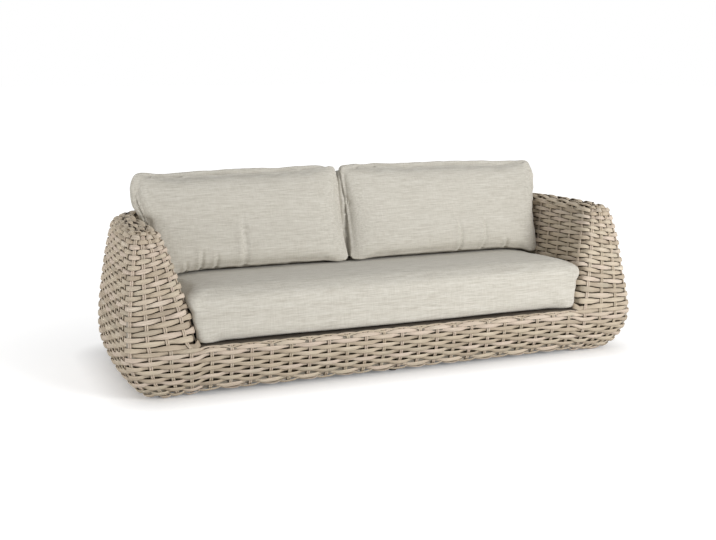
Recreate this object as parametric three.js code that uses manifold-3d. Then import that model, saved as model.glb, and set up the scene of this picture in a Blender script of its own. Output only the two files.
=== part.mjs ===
// A three-seat woven garden sofa: an aluminium tube frame, a skin woven over it in five
// pieces, a long seat cushion and two leaning back cushions.
// Millimetres, +Z up, the front faces -Y, and the origin is on the floor under the middle.
import * as THREE from 'three';
import { mergeVertices } from 'three/addons/utils/BufferGeometryUtils.js';
import Module from 'manifold-3d';

const wasm = await Module();
wasm.setup();

// Overall sizes of the woven body
const overallWidth = 2290;
const overallDepth = 930;
const wallHeight = 645;
const widestHeight = 190;
const deckHeight = 205;
const skirtHeight = 4;

// Shape of the woven walls: how far each face is drawn in at the floor and at the crown
const footTuck = 135;
const frontFootTuck = 92;
const sideTaper = 66;
const frontLean = 130;
const armTopWidth = 118;
const backTopWidth = 138;
const backRake = 137;
const armBaseWidth = 290;
const innerFrontSetback = 42;
const innerFrontTopSetback = 10;
const sideBow = 10;
const backBow = 8;
const faceBow = 5;
const bayBow = 3;
const crownRadius = 30;
const outerBackRadius = 345;
const cornerWallThickness = 220;
const outerFrontRadius = 46;
const innerFrontRadius = 32;
const seamRadius = 4;
const wickerThickness = 10;
const flangeDepth = 35;
const taperShare = 1.6;
const leanShare = 1.3;

// Tubes, bars and feet of the frame
const tubeRadius = 14;
const baseRailHeight = 42;
const slatWidth = 42;
const slatThickness = 12;
const slatCount = 7;
const glideRadius = 19;
const glideFootRadius = 16;
const glideChamfer = 4;
const glideClearance = 4;
const bracketWidth = 46;
const bracketThickness = 6;
const bracketMargin = 5;
const postSetback = 40;
const stayPitch = 560;
const sidePostClearance = 52;

// Seat cushion
const seatCushionHeight = 202;
const seatCrown = 14;
const seatCrownShare = 0.72;
const seatEdgeRadius = 46;
const seatFootRadius = 28;
const seatFrontSetback = 74;
const seatSideClearance = 20;
const seatRearClearance = 15;
const seatCornerClearance = 37;
const seatFrontRadius = 38;
const seatWaist = 5;
const seatFrontBow = 9;
const seatSideBow = 4;

// Back cushions
const backCushionHeight = 396;
const backCushionThickness = 180;
const backCushionClearance = 17;
const backCushionLean = 17.5;
const backCushionGap = 7;
const backCushionSpread = 5;
const backCornerRadius = 62;
const backTightRadius = 36;
const backTopBow = 14;
const backSideBow = 3;
const backFrontCrown = 20;
const backRearCrown = 4;
const backWaist = 7;
const backRearDraw = 62;
const rearDrawShare = 0.35;
const backEdgeRoll = 16;
const pipingRadius = 3;

// Clearances shared by everything that touches
const seatGap = 0.3;
const overrun = 20;

// Facets
const tubeSides = 10;
const bentStepsPerSpan = 2;
const glideSides = 20;

const COLOURS = {
  wicker: { color: 0xc6b79f, roughness: 0.62, metalness: 0 },
  tube: { color: 0x8d8578, roughness: 0.45, metalness: 0.6 },
  nylon: { color: 0x2b2a28, roughness: 0.55, metalness: 0 },
  fabric: { color: 0xcbc6ba, roughness: 0.92, metalness: 0 },
};

// Joining and cutting of closed meshes
function toSolid(geometry) {
  const bare = geometry.clone();
  bare.deleteAttribute('normal');
  bare.deleteAttribute('uv');
  const welded = mergeVertices(bare);
  return new wasm.Manifold(new wasm.Mesh({
    numProp: 3,
    vertProperties: Float32Array.from(welded.attributes.position.array),
    triVerts: Uint32Array.from(welded.index.array),
  }));
}

function toGeometry(solid) {
  const mesh = solid.getMesh();
  const geometry = new THREE.BufferGeometry();
  geometry.setAttribute('position', new THREE.BufferAttribute(mesh.vertProperties, 3));
  geometry.setIndex(new THREE.BufferAttribute(mesh.triVerts, 1));
  geometry.computeVertexNormals();
  return geometry;
}

// A cut between two faceted tubes can leave crumbs beside a facet, so the main body is kept
function mainBody(solid) {
  return solid.decompose().reduce((best, body) => (body.volume() > best.volume() ? body : best));
}

const cut = (solid, ...cutters) => mainBody(cutters.reduce((rest, cutter) => rest.subtract(cutter), solid));

function boxSolid(low, high) {
  const size = new THREE.Vector3().subVectors(high, low);
  const middle = new THREE.Vector3().addVectors(low, high).multiplyScalar(1 / 2);
  const geometry = new THREE.BoxGeometry(size.x, size.y, size.z);
  return toSolid(geometry.translate(middle.x, middle.y, middle.z));
}

// A closed body through rings of equal count; the first and last rings are capped flat
function loft(rings) {
  const count = rings[0].length;
  const positions = rings.flat().flatMap((point) => [point.x, point.y, point.z]);
  const index = [];
  for (let level = 0; level + 1 < rings.length; level += 1) {
    for (let i = 0; i < count; i += 1) {
      const near = level * count + i;
      const next = level * count + ((i + 1) % count);
      index.push(near, next, next + count, near, next + count, near + count);
    }
  }
  const capFaces = (ring) => {
    const flat = ring.map((point) => new THREE.Vector2(point.x, point.y));
    return THREE.ShapeUtils.triangulateShape(flat, []).map((face) => {
      const [a, b, c] = face.map((corner) => flat[corner]);
      const turn = (b.x - a.x) * (c.y - a.y) - (b.y - a.y) * (c.x - a.x);
      return turn > 0 ? face : [face[0], face[2], face[1]];
    });
  };
  const last = (rings.length - 1) * count;
  capFaces(rings[0]).forEach(([a, b, c]) => index.push(a, c, b));
  capFaces(rings[rings.length - 1]).forEach(([a, b, c]) => index.push(last + a, last + b, last + c));
  const geometry = new THREE.BufferGeometry();
  geometry.setAttribute('position', new THREE.Float32BufferAttribute(positions, 3));
  geometry.setIndex(index);
  return geometry;
}

// An outline with round corners. Each corner has a place, a radius, the arc's steps, and the
// points and outward bow of the edge that follows it.
function roundedOutline(corners) {
  const count = corners.length;
  const arcs = corners.map((corner, i) => {
    const back = new THREE.Vector2().subVectors(corners[(i + count - 1) % count].place, corner.place).normalize();
    const ahead = new THREE.Vector2().subVectors(corners[(i + 1) % count].place, corner.place).normalize();
    const half = Math.acos(THREE.MathUtils.clamp(back.dot(ahead), -1, 1)) / 2;
    const reach = corner.radius / Math.tan(half);
    const start = corner.place.clone().addScaledVector(back, reach);
    const end = corner.place.clone().addScaledVector(ahead, reach);
    const middle = back.clone().add(ahead).normalize();
    const centre = corner.place.clone().addScaledVector(middle, corner.radius / Math.sin(half));
    const from = Math.atan2(start.y - centre.y, start.x - centre.x);
    let sweep = Math.atan2(end.y - centre.y, end.x - centre.x) - from;
    sweep -= Math.round(sweep / (2 * Math.PI)) * 2 * Math.PI;
    return Array.from({ length: corner.steps + 1 }, (_, step) => {
      const angle = from + (sweep * step) / corner.steps;
      const spoke = new THREE.Vector2(Math.cos(angle), Math.sin(angle));
      return centre.clone().addScaledVector(spoke, corner.radius);
    });
  });
  return arcs.flatMap((arc, i) => {
    const { points, bow } = corners[i];
    const start = arc[arc.length - 1];
    const end = arcs[(i + 1) % count][0];
    const outward = new THREE.Vector2(end.y - start.y, start.x - end.x).normalize();
    const edge = Array.from({ length: points }, (_, k) => {
      const along = (k + 1) / (points + 1);
      return start.clone().lerp(end, along).addScaledVector(outward, bow * Math.sin(Math.PI * along));
    });
    return [...arc, ...edge];
  });
}

const xy = (x, y) => new THREE.Vector2(x, y);
const xyz = (x, y, z) => new THREE.Vector3(x, y, z);
const atHeight = (outline, z) => outline.map((point) => xyz(point.x, point.y, z));
const smooth = (value) => THREE.MathUtils.smoothstep(value, 0, 1);
const mix = THREE.MathUtils.lerp;

// The woven walls as functions of height
const seatHalfWidth = overallWidth / 2 - sideBow - armBaseWidth;
const innerBackRadius = outerBackRadius - cornerWallThickness;
const footShare = (z) => 1 - Math.sqrt(1 - Math.max(0, (widestHeight - z) / widestHeight) ** 2);
const riseShare = (z) => Math.max(0, (z - widestHeight) / (wallHeight - widestHeight));
const deckShare = (z) => Math.max(0, (z - deckHeight) / (wallHeight - deckHeight));
const outerDraw = (z) => footTuck * footShare(z) + sideTaper * riseShare(z) ** taperShare;
const outerSide = (z) => overallWidth / 2 - sideBow - outerDraw(z);
const outerBack = (z) => overallDepth / 2 - backBow - outerDraw(z);
const frontDraw = (z) => frontFootTuck * footShare(z) + frontLean * riseShare(z) ** leanShare;
const outerFront = (z) => frontDraw(z) + faceBow - overallDepth / 2;
const innerTopHalfWidth = overallWidth / 2 - sideTaper - armTopWidth;
const innerBackTop = overallDepth / 2 - sideTaper - backTopWidth;
const innerSide = (z) => mix(seatHalfWidth, innerTopHalfWidth, deckShare(z));
const innerBack = (z) => mix(innerBackTop - backRake, innerBackTop, deckShare(z));
const rimFoot = deckHeight - wickerThickness;
const rimHead = deckHeight + crownRadius;
const rimShare = (z) => smooth((z - rimFoot) / (rimHead - rimFoot));
const innerSetback = (z) => rimShare(z) * mix(innerFrontSetback, innerFrontTopSetback, deckShare(z));

// One level of the wall that runs round the seat: outer faces, arm fronts and inner faces
function wallOutline(z, inset) {
  const side = outerSide(z) - inset;
  const front = outerFront(z) + inset;
  const back = outerBack(z) - inset;
  const bay = innerSide(z) + inset;
  const bayBack = innerBack(z) + inset;
  const bayFront = front + innerSetback(z);
  const frontInner = Math.max(mix(seamRadius, innerFrontRadius, rimShare(z)) - inset, seamRadius);
  const frontOuter = Math.max(outerFrontRadius - inset, seamRadius);
  const outerCorner = { radius: outerBackRadius - inset, steps: 7 };
  const bayCorner = { radius: innerBackRadius + inset, steps: 3 };
  const armFront = { steps: 2, points: 1, bow: faceBow };
  return roundedOutline([
    { place: xy(side, front), radius: frontOuter, steps: 3, points: 3, bow: sideBow },
    { place: xy(side, back), ...outerCorner, points: 3, bow: backBow },
    { place: xy(-side, back), ...outerCorner, points: 3, bow: sideBow },
    { place: xy(-side, front), radius: frontOuter, ...armFront, steps: 3 },
    { place: xy(-bay, bayFront), radius: frontInner, steps: 2, points: 1, bow: bayBow },
    { place: xy(-bay, bayBack), ...bayCorner, points: 1, bow: bayBow },
    { place: xy(bay, bayBack), ...bayCorner, points: 1, bow: bayBow },
    { place: xy(bay, bayFront), radius: frontInner, ...armFront },
  ]);
}

// Levels of the wall: close together in the curve of the foot, then evenly up to the shoulder
const shoulderHeight = wallHeight - crownRadius;
const footLevelShares = [0, 0.08, 0.22, 0.45, 0.72, 1];
const rimLevelShares = [0, 1 / 3, 2 / 3, 1];
const wallLevelShares = [0.2, 0.45, 0.7, 0.88, 1];
const crownTurns = [1 / 6, 1 / 3, 1 / 2];
const wallLevels = [
  ...footLevelShares.map((share) => mix(skirtHeight, widestHeight, share)),
  ...rimLevelShares.map((share) => mix(rimFoot, rimHead, share)),
  ...wallLevelShares.map((share) => mix(rimHead, shoulderHeight, share)),
];

function wallSolid(inset) {
  const round = crownRadius - inset;
  const rings = wallLevels.map((z) => atHeight(wallOutline(z, inset), z));
  crownTurns.forEach((turn) => {
    const z = shoulderHeight + round * Math.sin(turn * Math.PI);
    rings.push(atHeight(wallOutline(z, inset + round * (1 - Math.cos(turn * Math.PI))), z));
  });
  if (inset > 0) rings.unshift(atHeight(wallOutline(skirtHeight, inset), skirtHeight - overrun));
  return toSolid(loft(rings));
}

// Tubes: straight from point to point, or bent along a smooth curve
function straightTube(from, to, radius) {
  const along = new THREE.Vector3().subVectors(to, from);
  const geometry = new THREE.CylinderGeometry(radius, radius, along.length(), tubeSides);
  const turn = new THREE.Quaternion().setFromUnitVectors(xyz(0, 1, 0), along.clone().normalize());
  const middle = new THREE.Vector3().addVectors(from, to).multiplyScalar(1 / 2);
  return toSolid(geometry.applyQuaternion(turn).translate(middle.x, middle.y, middle.z));
}

function bentTube(points, radius) {
  const circle = new THREE.Shape(Array.from({ length: tubeSides }, (_, side) => {
    const angle = (side * 2 * Math.PI) / tubeSides;
    return xy(radius * Math.cos(angle), radius * Math.sin(angle));
  }));
  const extrudePath = new THREE.CatmullRomCurve3(points, false, 'centripetal');
  const steps = (points.length - 1) * bentStepsPerSpan;
  return toSolid(new THREE.ExtrudeGeometry(circle, { extrudePath, steps }));
}

// A frame member has its own solid, and a slightly fatter one that cuts what seats on it
function member(points) {
  const make = (radius) => (points.length > 2 ? bentTube(points, radius) : straightTube(...points, radius));
  return { solid: make(tubeRadius), seat: make(tubeRadius + seatGap) };
}

const fitted = (piece, ...carriers) => ({ ...piece, solid: cut(piece.solid, ...carriers.map((c) => c.seat)) });

// A level half loop that follows the outside of the body at a distance: side, corner, back
function loopPoints(z, x, back, radius, frontEnd) {
  const quarter = [0, 1 / 4, 1 / 2, 3 / 4, 1];
  const corner = quarter.map((turn) => {
    const angle = (turn * Math.PI) / 2;
    return xyz(x - radius + radius * Math.cos(angle), back - radius + radius * Math.sin(angle), z);
  });
  const straight = [xyz(x, frontEnd, z), xyz(x, mix(frontEnd, back - radius, 1 / 2), z)];
  const half = frontEnd < back - radius ? [...straight, ...corner] : corner;
  const mirrored = half.map((point) => xyz(-point.x, point.y, point.z)).reverse();
  return [...half, xyz(0, back, z), ...mirrored];
}

const wrap = tubeRadius + seatGap + wickerThickness;
const railHeight = deckHeight - wickerThickness - seatGap - tubeRadius;
const hoopHeight = wallHeight - wickerThickness - seatGap - tubeRadius;
const hoopSide = (outerSide(wallHeight) + innerSide(wallHeight)) / 2;
const hoopBack = (outerBack(wallHeight) + innerBack(wallHeight)) / 2;
const hoopRadius = (outerBackRadius + innerBackRadius) / 2;
const hoopFront = outerFront(hoopHeight) + wrap;
const footSlopeShare = 1.6;
const baseSide = outerSide(baseRailHeight) - wrap * footSlopeShare;
const baseBack = outerBack(baseRailHeight) - wrap * footSlopeShare;
const baseFront = outerFront(baseRailHeight) + wrap;
const rimFront = outerFront(widestHeight) + wrap;
const rearRailPlace = innerBack(deckHeight);

// Frame: hoop, base ring and seat ring
const frame = {};
frame.top_hoop = member(loopPoints(hoopHeight, hoopSide, hoopBack, hoopRadius, hoopFront));
frame.base_front_rail = member([xyz(-baseSide, baseFront, baseRailHeight), xyz(baseSide, baseFront, baseRailHeight)]);
const baseRadius = outerBackRadius - wrap * footSlopeShare;
const baseJoint = baseBack - baseRadius - wrap * 2;
frame.base_rear_rail = member(loopPoints(baseRailHeight, baseSide, baseBack, baseRadius, baseJoint));
for (const [hand, sign] of [['left', -1], ['right', 1]]) {
  const name = `base_${hand}_rail`;
  const from = xyz(sign * baseSide, baseFront, baseRailHeight);
  const to = xyz(sign * baseSide, baseJoint - seatGap, baseRailHeight);
  frame[name] = fitted(member([from, to]), frame.base_front_rail);
}

// Posts run up inside the skin, from the base ring to the hoop
const panelJoint = outerBack(widestHeight) - outerBackRadius;
const sidePostPlace = panelJoint - sidePostClearance;
const postLevelShares = [0, 0.14, 0.28, 0.5, 0.75, 0.9];
const postLevels = postLevelShares.map((share) => mix(baseRailHeight, hoopHeight, share));
const postShare = (z) => smooth((z - baseRailHeight) / (widestHeight - baseRailHeight));
const postOffset = (z) => mix(wrap * footSlopeShare, wrap, postShare(z));
const postFront = (z) => outerFront(z) + mix(wrap, postSetback, postShare(z));
for (const [hand, sign] of [['left', -1], ['right', 1]]) {
  const side = (z) => sign * (outerSide(z) - postOffset(z));
  const frontPath = postLevels.map((z) => xyz(side(z), postFront(z), z));
  frontPath.push(xyz(sign * hoopSide, postFront(hoopHeight), hoopHeight));
  frame[`${hand}_front_post`] = fitted(member(frontPath), frame.top_hoop, frame.base_front_rail, frame[`base_${hand}_rail`]);
  const sidePath = postLevels.map((z) => xyz(side(z), sidePostPlace, z));
  sidePath.push(xyz(sign * hoopSide, sidePostPlace, hoopHeight));
  frame[`${hand}_side_post`] = fitted(member(sidePath), frame.top_hoop, frame[`base_${hand}_rail`], frame.base_rear_rail);
  const rearPath = postLevels.map((z) => xyz(sign * stayPitch, outerBack(z) - postOffset(z), z));
  rearPath.push(xyz(sign * stayPitch, hoopBack, hoopHeight));
  frame[`${hand}_rear_post`] = fitted(member(rearPath), frame.top_hoop, frame.base_rear_rail);
}

const postAt = (z) => outerSide(z) - postOffset(z);
frame.seat_front_rail = fitted(
  member([xyz(-postAt(railHeight), rimFront, railHeight), xyz(postAt(railHeight), rimFront, railHeight)]),
  frame.left_front_post,
  frame.right_front_post,
);
frame.seat_rear_rail = member([
  xyz(-seatHalfWidth - tubeRadius, rearRailPlace, railHeight),
  xyz(seatHalfWidth + tubeRadius, rearRailPlace, railHeight),
]);
for (const [hand, sign] of [['left', -1], ['right', 1]]) {
  const sideRail = member([
    xyz(sign * seatHalfWidth, rimFront, railHeight),
    xyz(sign * seatHalfWidth, rearRailPlace, railHeight),
  ]);
  frame[`seat_${hand}_rail`] = fitted(sideRail, frame.seat_front_rail, frame.seat_rear_rail);
  const sideStrut = member([
    xyz(sign * seatHalfWidth, sidePostPlace, railHeight),
    xyz(sign * postAt(railHeight), sidePostPlace, railHeight),
  ]);
  frame[`${hand}_side_strut`] = fitted(sideStrut, frame[`seat_${hand}_rail`], frame[`${hand}_side_post`]);
  const rearStrut = member([
    xyz(sign * stayPitch, rearRailPlace, railHeight),
    xyz(sign * stayPitch, outerBack(railHeight) - postOffset(railHeight), railHeight),
  ]);
  frame[`${hand}_rear_strut`] = fitted(rearStrut, frame.seat_rear_rail, frame[`${hand}_rear_post`]);
  const stayHead = outerFront(hoopHeight) + postSetback + wrap + tubeRadius;
  const armStay = member([
    xyz(sign * (seatHalfWidth + wrap), stayHead - backRake, railHeight),
    xyz(sign * hoopSide, stayHead, hoopHeight),
  ]);
  frame[`${hand}_arm_stay`] = fitted(armStay, frame.top_hoop, frame[`seat_${hand}_rail`]);
}
[['left', -1], ['centre', 0], ['right', 1]].forEach(([name, side]) => {
  const stay = member([
    xyz(side * (stayPitch - wrap * 2), rearRailPlace + wrap, railHeight),
    xyz(side * (stayPitch - wrap * 2), hoopBack, hoopHeight),
  ]);
  frame[`back_stay_${name}`] = fitted(stay, frame.top_hoop, frame.seat_rear_rail);
});
const frontLeg = member([xyz(0, baseFront, baseRailHeight), xyz(0, rimFront, railHeight)]);
frame.centre_front_leg = fitted(frontLeg, frame.base_front_rail, frame.seat_front_rail);
const rearLegFoot = baseRailHeight - bracketThickness / 2;
const rearLeg = member([xyz(0, rearRailPlace, rearLegFoot), xyz(0, rearRailPlace, railHeight)]);
frame.centre_rear_leg = fitted(rearLeg, frame.seat_rear_rail);

// Slats lie between the front and rear seat rails, flush with their tops
const slats = Array.from({ length: slatCount }, (_, i) => {
  const middle = ((2 * (i + 1)) / (slatCount + 1) - 1) * seatHalfWidth;
  const top = deckHeight - wickerThickness - seatGap;
  return cut(
    boxSolid(
      xyz(middle - slatWidth / 2, rimFront, top - slatThickness),
      xyz(middle + slatWidth / 2, rearRailPlace, top),
    ),
    frame.seat_front_rail.seat,
    frame.seat_rear_rail.seat,
    frame.centre_front_leg.seat,
    frame.centre_rear_leg.seat,
  );
});

// Foot brackets reach inwards from the base rails, clear of the skin that curls under them,
// and each carries a nylon glide. The middle rear glide stands under its own leg.
const glideTop = baseRailHeight - bracketThickness / 2 - seatGap;
const skinReach = wickerThickness + glideRadius + glideClearance;
const frontGlidePlace = outerFront(skirtHeight) + skinReach;
const rearGlidePlace = outerBack(skirtHeight) - skinReach;
const cornerGlideSide = baseSide - skinReach * 2;
const rearGlideSide = baseSide - baseRadius - wrap * 2;

function footBracket(x, railPlace, glidePlace, rail) {
  const inwards = Math.sign(glidePlace - railPlace);
  const end = glidePlace + inwards * (glideRadius + bracketMargin);
  const low = xyz(x - bracketWidth / 2, Math.min(railPlace, end), baseRailHeight - bracketThickness / 2);
  const high = xyz(x + bracketWidth / 2, Math.max(railPlace, end), baseRailHeight + bracketThickness / 2);
  return cut(boxSolid(low, high), rail.seat);
}

function glide(x, y) {
  const profile = [
    xy(0, 0),
    xy(glideFootRadius, 0),
    xy(glideRadius, glideChamfer),
    xy(glideRadius, glideTop - glideChamfer),
    xy(glideFootRadius, glideTop),
    xy(0, glideTop),
  ];
  return toSolid(new THREE.LatheGeometry(profile, glideSides).rotateX(Math.PI / 2).translate(x, y, 0));
}

const feet = {};
[['left', -1], ['centre', 0], ['right', 1]].forEach(([name, side]) => {
  const x = side * cornerGlideSide;
  feet[`foot_bracket_${name}_front`] = footBracket(x, baseFront, frontGlidePlace, frame.base_front_rail);
  feet[`glide_${name}_front`] = glide(x, frontGlidePlace);
  const rearX = side * rearGlideSide;
  if (side !== 0) feet[`foot_bracket_${name}_rear`] = footBracket(rearX, baseBack, rearGlidePlace, frame.base_rear_rail);
  feet[`glide_${name}_rear`] = glide(rearX, side === 0 ? rearRailPlace : rearGlidePlace);
});

// Woven skin of the arms and back: one hollow wall, open below, cut where the panels meet
const members = Object.values(frame).map((piece) => piece.seat);
const underSeat = boxSolid(
  xyz(-seatHalfWidth - tubeRadius - seatGap, rimFront + flangeDepth, -overrun),
  xyz(
    seatHalfWidth + tubeRadius + seatGap,
    rearRailPlace + tubeRadius + seatGap,
    deckHeight - wickerThickness,
  ),
);
const wall = cut(wallSolid(0), wallSolid(wickerThickness), underSeat, ...members);
const far = overallWidth;
const panels = {
  wicker_left_arm: wall.intersect(boxSolid(xyz(-far, -far, -far), xyz(0, panelJoint, far))),
  wicker_right_arm: wall.intersect(boxSolid(xyz(0, -far, -far), xyz(far, panelJoint, far))),
  wicker_back: wall.intersect(boxSolid(xyz(-far, panelJoint + seatGap, -far), xyz(far, far, far))),
};

// Front band: a sheet that rolls over the seat rail above and curls under the base rail
function frontBand() {
  const faceShares = [0.12, 0.35, 0.65, 1];
  const arc = (y, z, radius, fromTurn, toTurn, steps) => Array.from({ length: steps + 1 }, (_, i) => {
    const angle = mix(fromTurn, toTurn, i / steps) * Math.PI;
    return xy(y + radius * Math.cos(angle), z + radius * Math.sin(angle));
  });
  const face = (offset) => faceShares.map((share) => {
    const z = mix(baseRailHeight, railHeight, share);
    return xy(outerFront(z) + offset, z);
  });
  const outer = [
    ...arc(baseFront, baseRailHeight, wrap, 5 / 3, 1, 4),
    ...face(0).slice(0, -1),
    ...arc(rimFront, railHeight, wrap, 1, 1 / 2, 4),
  ];
  const thin = wrap - wickerThickness;
  const inner = [
    ...arc(rimFront, railHeight, thin, 1 / 2, 1, 4),
    ...face(wickerThickness).slice(0, -1).reverse(),
    ...arc(baseFront, baseRailHeight, thin, 1, 5 / 3, 4),
  ];
  const shape = new THREE.Shape([...outer, ...inner]);
  const length = 2 * (seatHalfWidth - seatGap);
  const geometry = new THREE.ExtrudeGeometry(shape, { depth: length, bevelEnabled: false });
  const place = new THREE.Matrix4().makeBasis(xyz(0, 1, 0), xyz(0, 0, 1), xyz(1, 0, 0));
  geometry.applyMatrix4(place).translate(-length / 2, 0, 0);
  return cut(toSolid(geometry), ...members);
}
panels.wicker_front_band = frontBand();

// Seat deck: a flat woven sheet on the seat rails, fitted to the walls and the rim
function seatDeck() {
  const bottom = deckHeight - wickerThickness;
  const outline = () => {
    const x = seatHalfWidth - bayBow - seatGap;
    const back = rearRailPlace - bayBow - seatGap;
    const front = rimFront + seatGap;
    const rear = { radius: innerBackRadius, steps: 4, points: 0, bow: 0 };
    const fore = { radius: seamRadius, steps: 1, points: 0, bow: 0 };
    return roundedOutline([
      { place: xy(x, front), ...fore },
      { place: xy(x, back), ...rear },
      { place: xy(-x, back), ...rear },
      { place: xy(-x, front), ...fore },
    ]);
  };
  const deck = toSolid(loft([atHeight(outline(), bottom), atHeight(outline(), deckHeight)]));
  return cut(deck, frame.seat_left_rail.seat, frame.seat_right_rail.seat, frame.seat_rear_rail.seat);
}
panels.wicker_seat_deck = seatDeck();

// Seat cushion: flat below, sides drawn in between rounded edges, and a crowned top
const edgeTurns = [0, 1 / 6, 1 / 3, 1 / 2];
const seatFloor = deckHeight + seatGap * 2;

const seatTop = seatFloor + seatCushionHeight;
const seatCornerRadius = innerBackRadius - seatCornerClearance;
const seatFront = seatFrontSetback - overallDepth / 2;
const seatBack = (z) => innerBack(z) - seatRearClearance;
const seatCrownReach = seatCrownShare * ((seatBack(seatTop) - seatFront) / 2 - seatEdgeRadius);
const crownRise = (share) => seatCrown * Math.sin((THREE.MathUtils.clamp(share, 0, 1) * Math.PI) / 2);
const seatTopAt = (y) => {
  const inset = seatBack(seatTop) - y;
  return seatTop + crownRise((inset - seatEdgeRadius) / seatCrownReach);
};

function seatCushion() {
  const outline = (z, inset) => {
    const x = innerSide(z) - seatSideClearance - inset;
    const front = seatFront + inset;
    const back = seatBack(z) - inset;
    const radius = Math.max(seatCornerRadius - inset / 2, seatEdgeRadius);
    const rearCorner = { radius, steps: 4 };
    const frontCorner = { radius: seatFrontRadius, steps: 4 };
    return roundedOutline([
      { place: xy(x, front), ...frontCorner, points: 2, bow: seatSideBow },
      { place: xy(x, back), ...rearCorner, points: 3, bow: seatSideBow },
      { place: xy(-x, back), ...rearCorner, points: 2, bow: seatSideBow },
      { place: xy(-x, front), ...frontCorner, points: 5, bow: seatFrontBow },
    ]);
  };
  const levels = edgeTurns.map((turn) => ({
    z: seatFloor + seatFootRadius * (1 - Math.cos(turn * Math.PI)),
    inset: seatFootRadius * (1 - Math.sin(turn * Math.PI)),
  }));
  levels.push({ z: mix(seatFloor, seatTop, 1 / 2), inset: seatWaist });
  [...edgeTurns].reverse().forEach((turn) => levels.push({
    z: seatTop - seatEdgeRadius * (1 - Math.cos(turn * Math.PI)),
    inset: seatEdgeRadius * (1 - Math.sin(turn * Math.PI)),
  }));
  const crownShares = [0.3, 0.62, 1];
  crownShares.forEach((share) => levels.push({
    z: seatTop + crownRise(share),
    inset: seatEdgeRadius + seatCrownReach * share,
  }));
  return toSolid(loft(levels.map(({ z, inset }) => atHeight(outline(z, inset), z))));
}

// Back cushion, in its own frame: x across, y up the back, z through the thickness.
// It is then leant back, with its foot kept level on the seat cushion.
const backCushionPlace = innerBack(seatTop) - backCushionThickness - backCushionClearance;
const cushionFoot = seatTopAt(backCushionPlace + backEdgeRoll + pipingRadius) + seatGap;

function backCushion(sign) {
  const lean = THREE.MathUtils.degToRad(backCushionLean);
  const outline = (inset, depth) => {
    const drawn = (depth / backCushionThickness - rearDrawShare) / (1 - rearDrawShare);
    const draw = inset + backRearDraw * smooth(drawn);
    const inner = backCushionGap / 2 + inset;
    const foot = innerSide(cushionFoot) - draw;
    const head = innerTopHalfWidth + backCushionSpread - draw;
    const softCorner = { radius: Math.max(backCornerRadius - inset / 2, backEdgeRoll), steps: 4 };
    const tightCorner = { radius: Math.max(backTightRadius - inset / 2, backEdgeRoll), steps: 4 };
    return roundedOutline([
      { place: xy(foot, inset), ...tightCorner, points: 2, bow: backSideBow },
      { place: xy(head, backCushionHeight - inset), ...softCorner, points: 4, bow: backTopBow },
      { place: xy(inner, backCushionHeight - inset), ...tightCorner, points: 0, bow: 0 },
      { place: xy(inner, inset), ...tightCorner, points: 0, bow: 0 },
    ]);
  };
  const seamDepth = backEdgeRoll;
  const rear = backCushionThickness;
  const levels = [
    { depth: -backFrontCrown, inset: backCornerRadius * 2 },
    { depth: -backFrontCrown * 0.8, inset: backCornerRadius * 1.2 },
    { depth: -backFrontCrown * 0.35, inset: backCornerRadius / 2 },
    { depth: seamDepth / 2, inset: backEdgeRoll / 2 },
    { depth: seamDepth, inset: pipingRadius },
    { depth: seamDepth + pipingRadius, inset: 0 },
    { depth: seamDepth + pipingRadius * 2, inset: pipingRadius },
    { depth: rear / 2, inset: backWaist },
    { depth: rear - seamDepth - pipingRadius * 2, inset: pipingRadius },
    { depth: rear - seamDepth - pipingRadius, inset: 0 },
    { depth: rear - seamDepth, inset: pipingRadius },
    { depth: rear - seamDepth / 2, inset: backEdgeRoll / 2 },
    { depth: rear, inset: backCornerRadius / 2 },
    { depth: rear + backRearCrown, inset: backCornerRadius * 2 },
  ];
  const leant = ({ x, y, z }) => {
    const tilt = lean * THREE.MathUtils.clamp(y / backCushionHeight, 0, 1);
    return xyz(
      x,
      backCushionPlace + y * Math.tan(lean) + z * Math.cos(tilt),
      cushionFoot + y - z * Math.sin(tilt),
    );
  };
  const mirrored = (outlinePoints) => (sign > 0 ? outlinePoints : outlinePoints.map((p) => xy(-p.x, p.y)).reverse());
  const flat = loft(levels.map(({ depth, inset }) => atHeight(mirrored(outline(inset, depth)), depth)));
  const place = flat.attributes.position;
  for (let i = 0; i < place.count; i += 1) {
    const point = leant(xyz(place.getX(i), place.getY(i), place.getZ(i)));
    place.setXYZ(i, point.x, point.y, point.z);
  }
  return flipped(flat);
}

// Leaning turns the loft's handedness, so its faces are turned round again
function flipped(geometry) {
  const faces = Array.from(geometry.index.array);
  for (let i = 0; i < faces.length; i += 3) [faces[i + 1], faces[i + 2]] = [faces[i + 2], faces[i + 1]];
  geometry.setIndex(faces);
  return toSolid(geometry);
}

// The assembly
const sofa = new THREE.Group();
function add(name, solid, finish) {
  const mesh = new THREE.Mesh(toGeometry(solid), new THREE.MeshStandardMaterial(finish));
  mesh.name = name;
  sofa.add(mesh);
}

Object.entries(frame).forEach(([name, piece]) => add(`frame_${name}`, piece.solid, COLOURS.tube));
slats.forEach((slat, i) => add(`seat_slat_${i + 1}`, slat, COLOURS.tube));
Object.entries(feet).forEach(([name, solid]) => {
  add(name, solid, name.startsWith('glide') ? COLOURS.nylon : COLOURS.tube);
});
Object.entries(panels).forEach(([name, solid]) => add(name, solid, COLOURS.wicker));
add('seat_cushion', seatCushion(), COLOURS.fabric);
add('back_cushion_left', backCushion(-1), COLOURS.fabric);
add('back_cushion_right', backCushion(1), COLOURS.fabric);

export default sofa;
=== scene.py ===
"""Looks of a woven three-seat garden sofa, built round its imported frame.

Metres, +Z up, the front faces -Y. The woven skin is made strand by strand: rows run round the
walls and pass in front of one stake and behind the next.
"""

import math

import bmesh
import bpy
import numpy as np
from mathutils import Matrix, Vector
from mathutils.bvhtree import BVHTree


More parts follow.
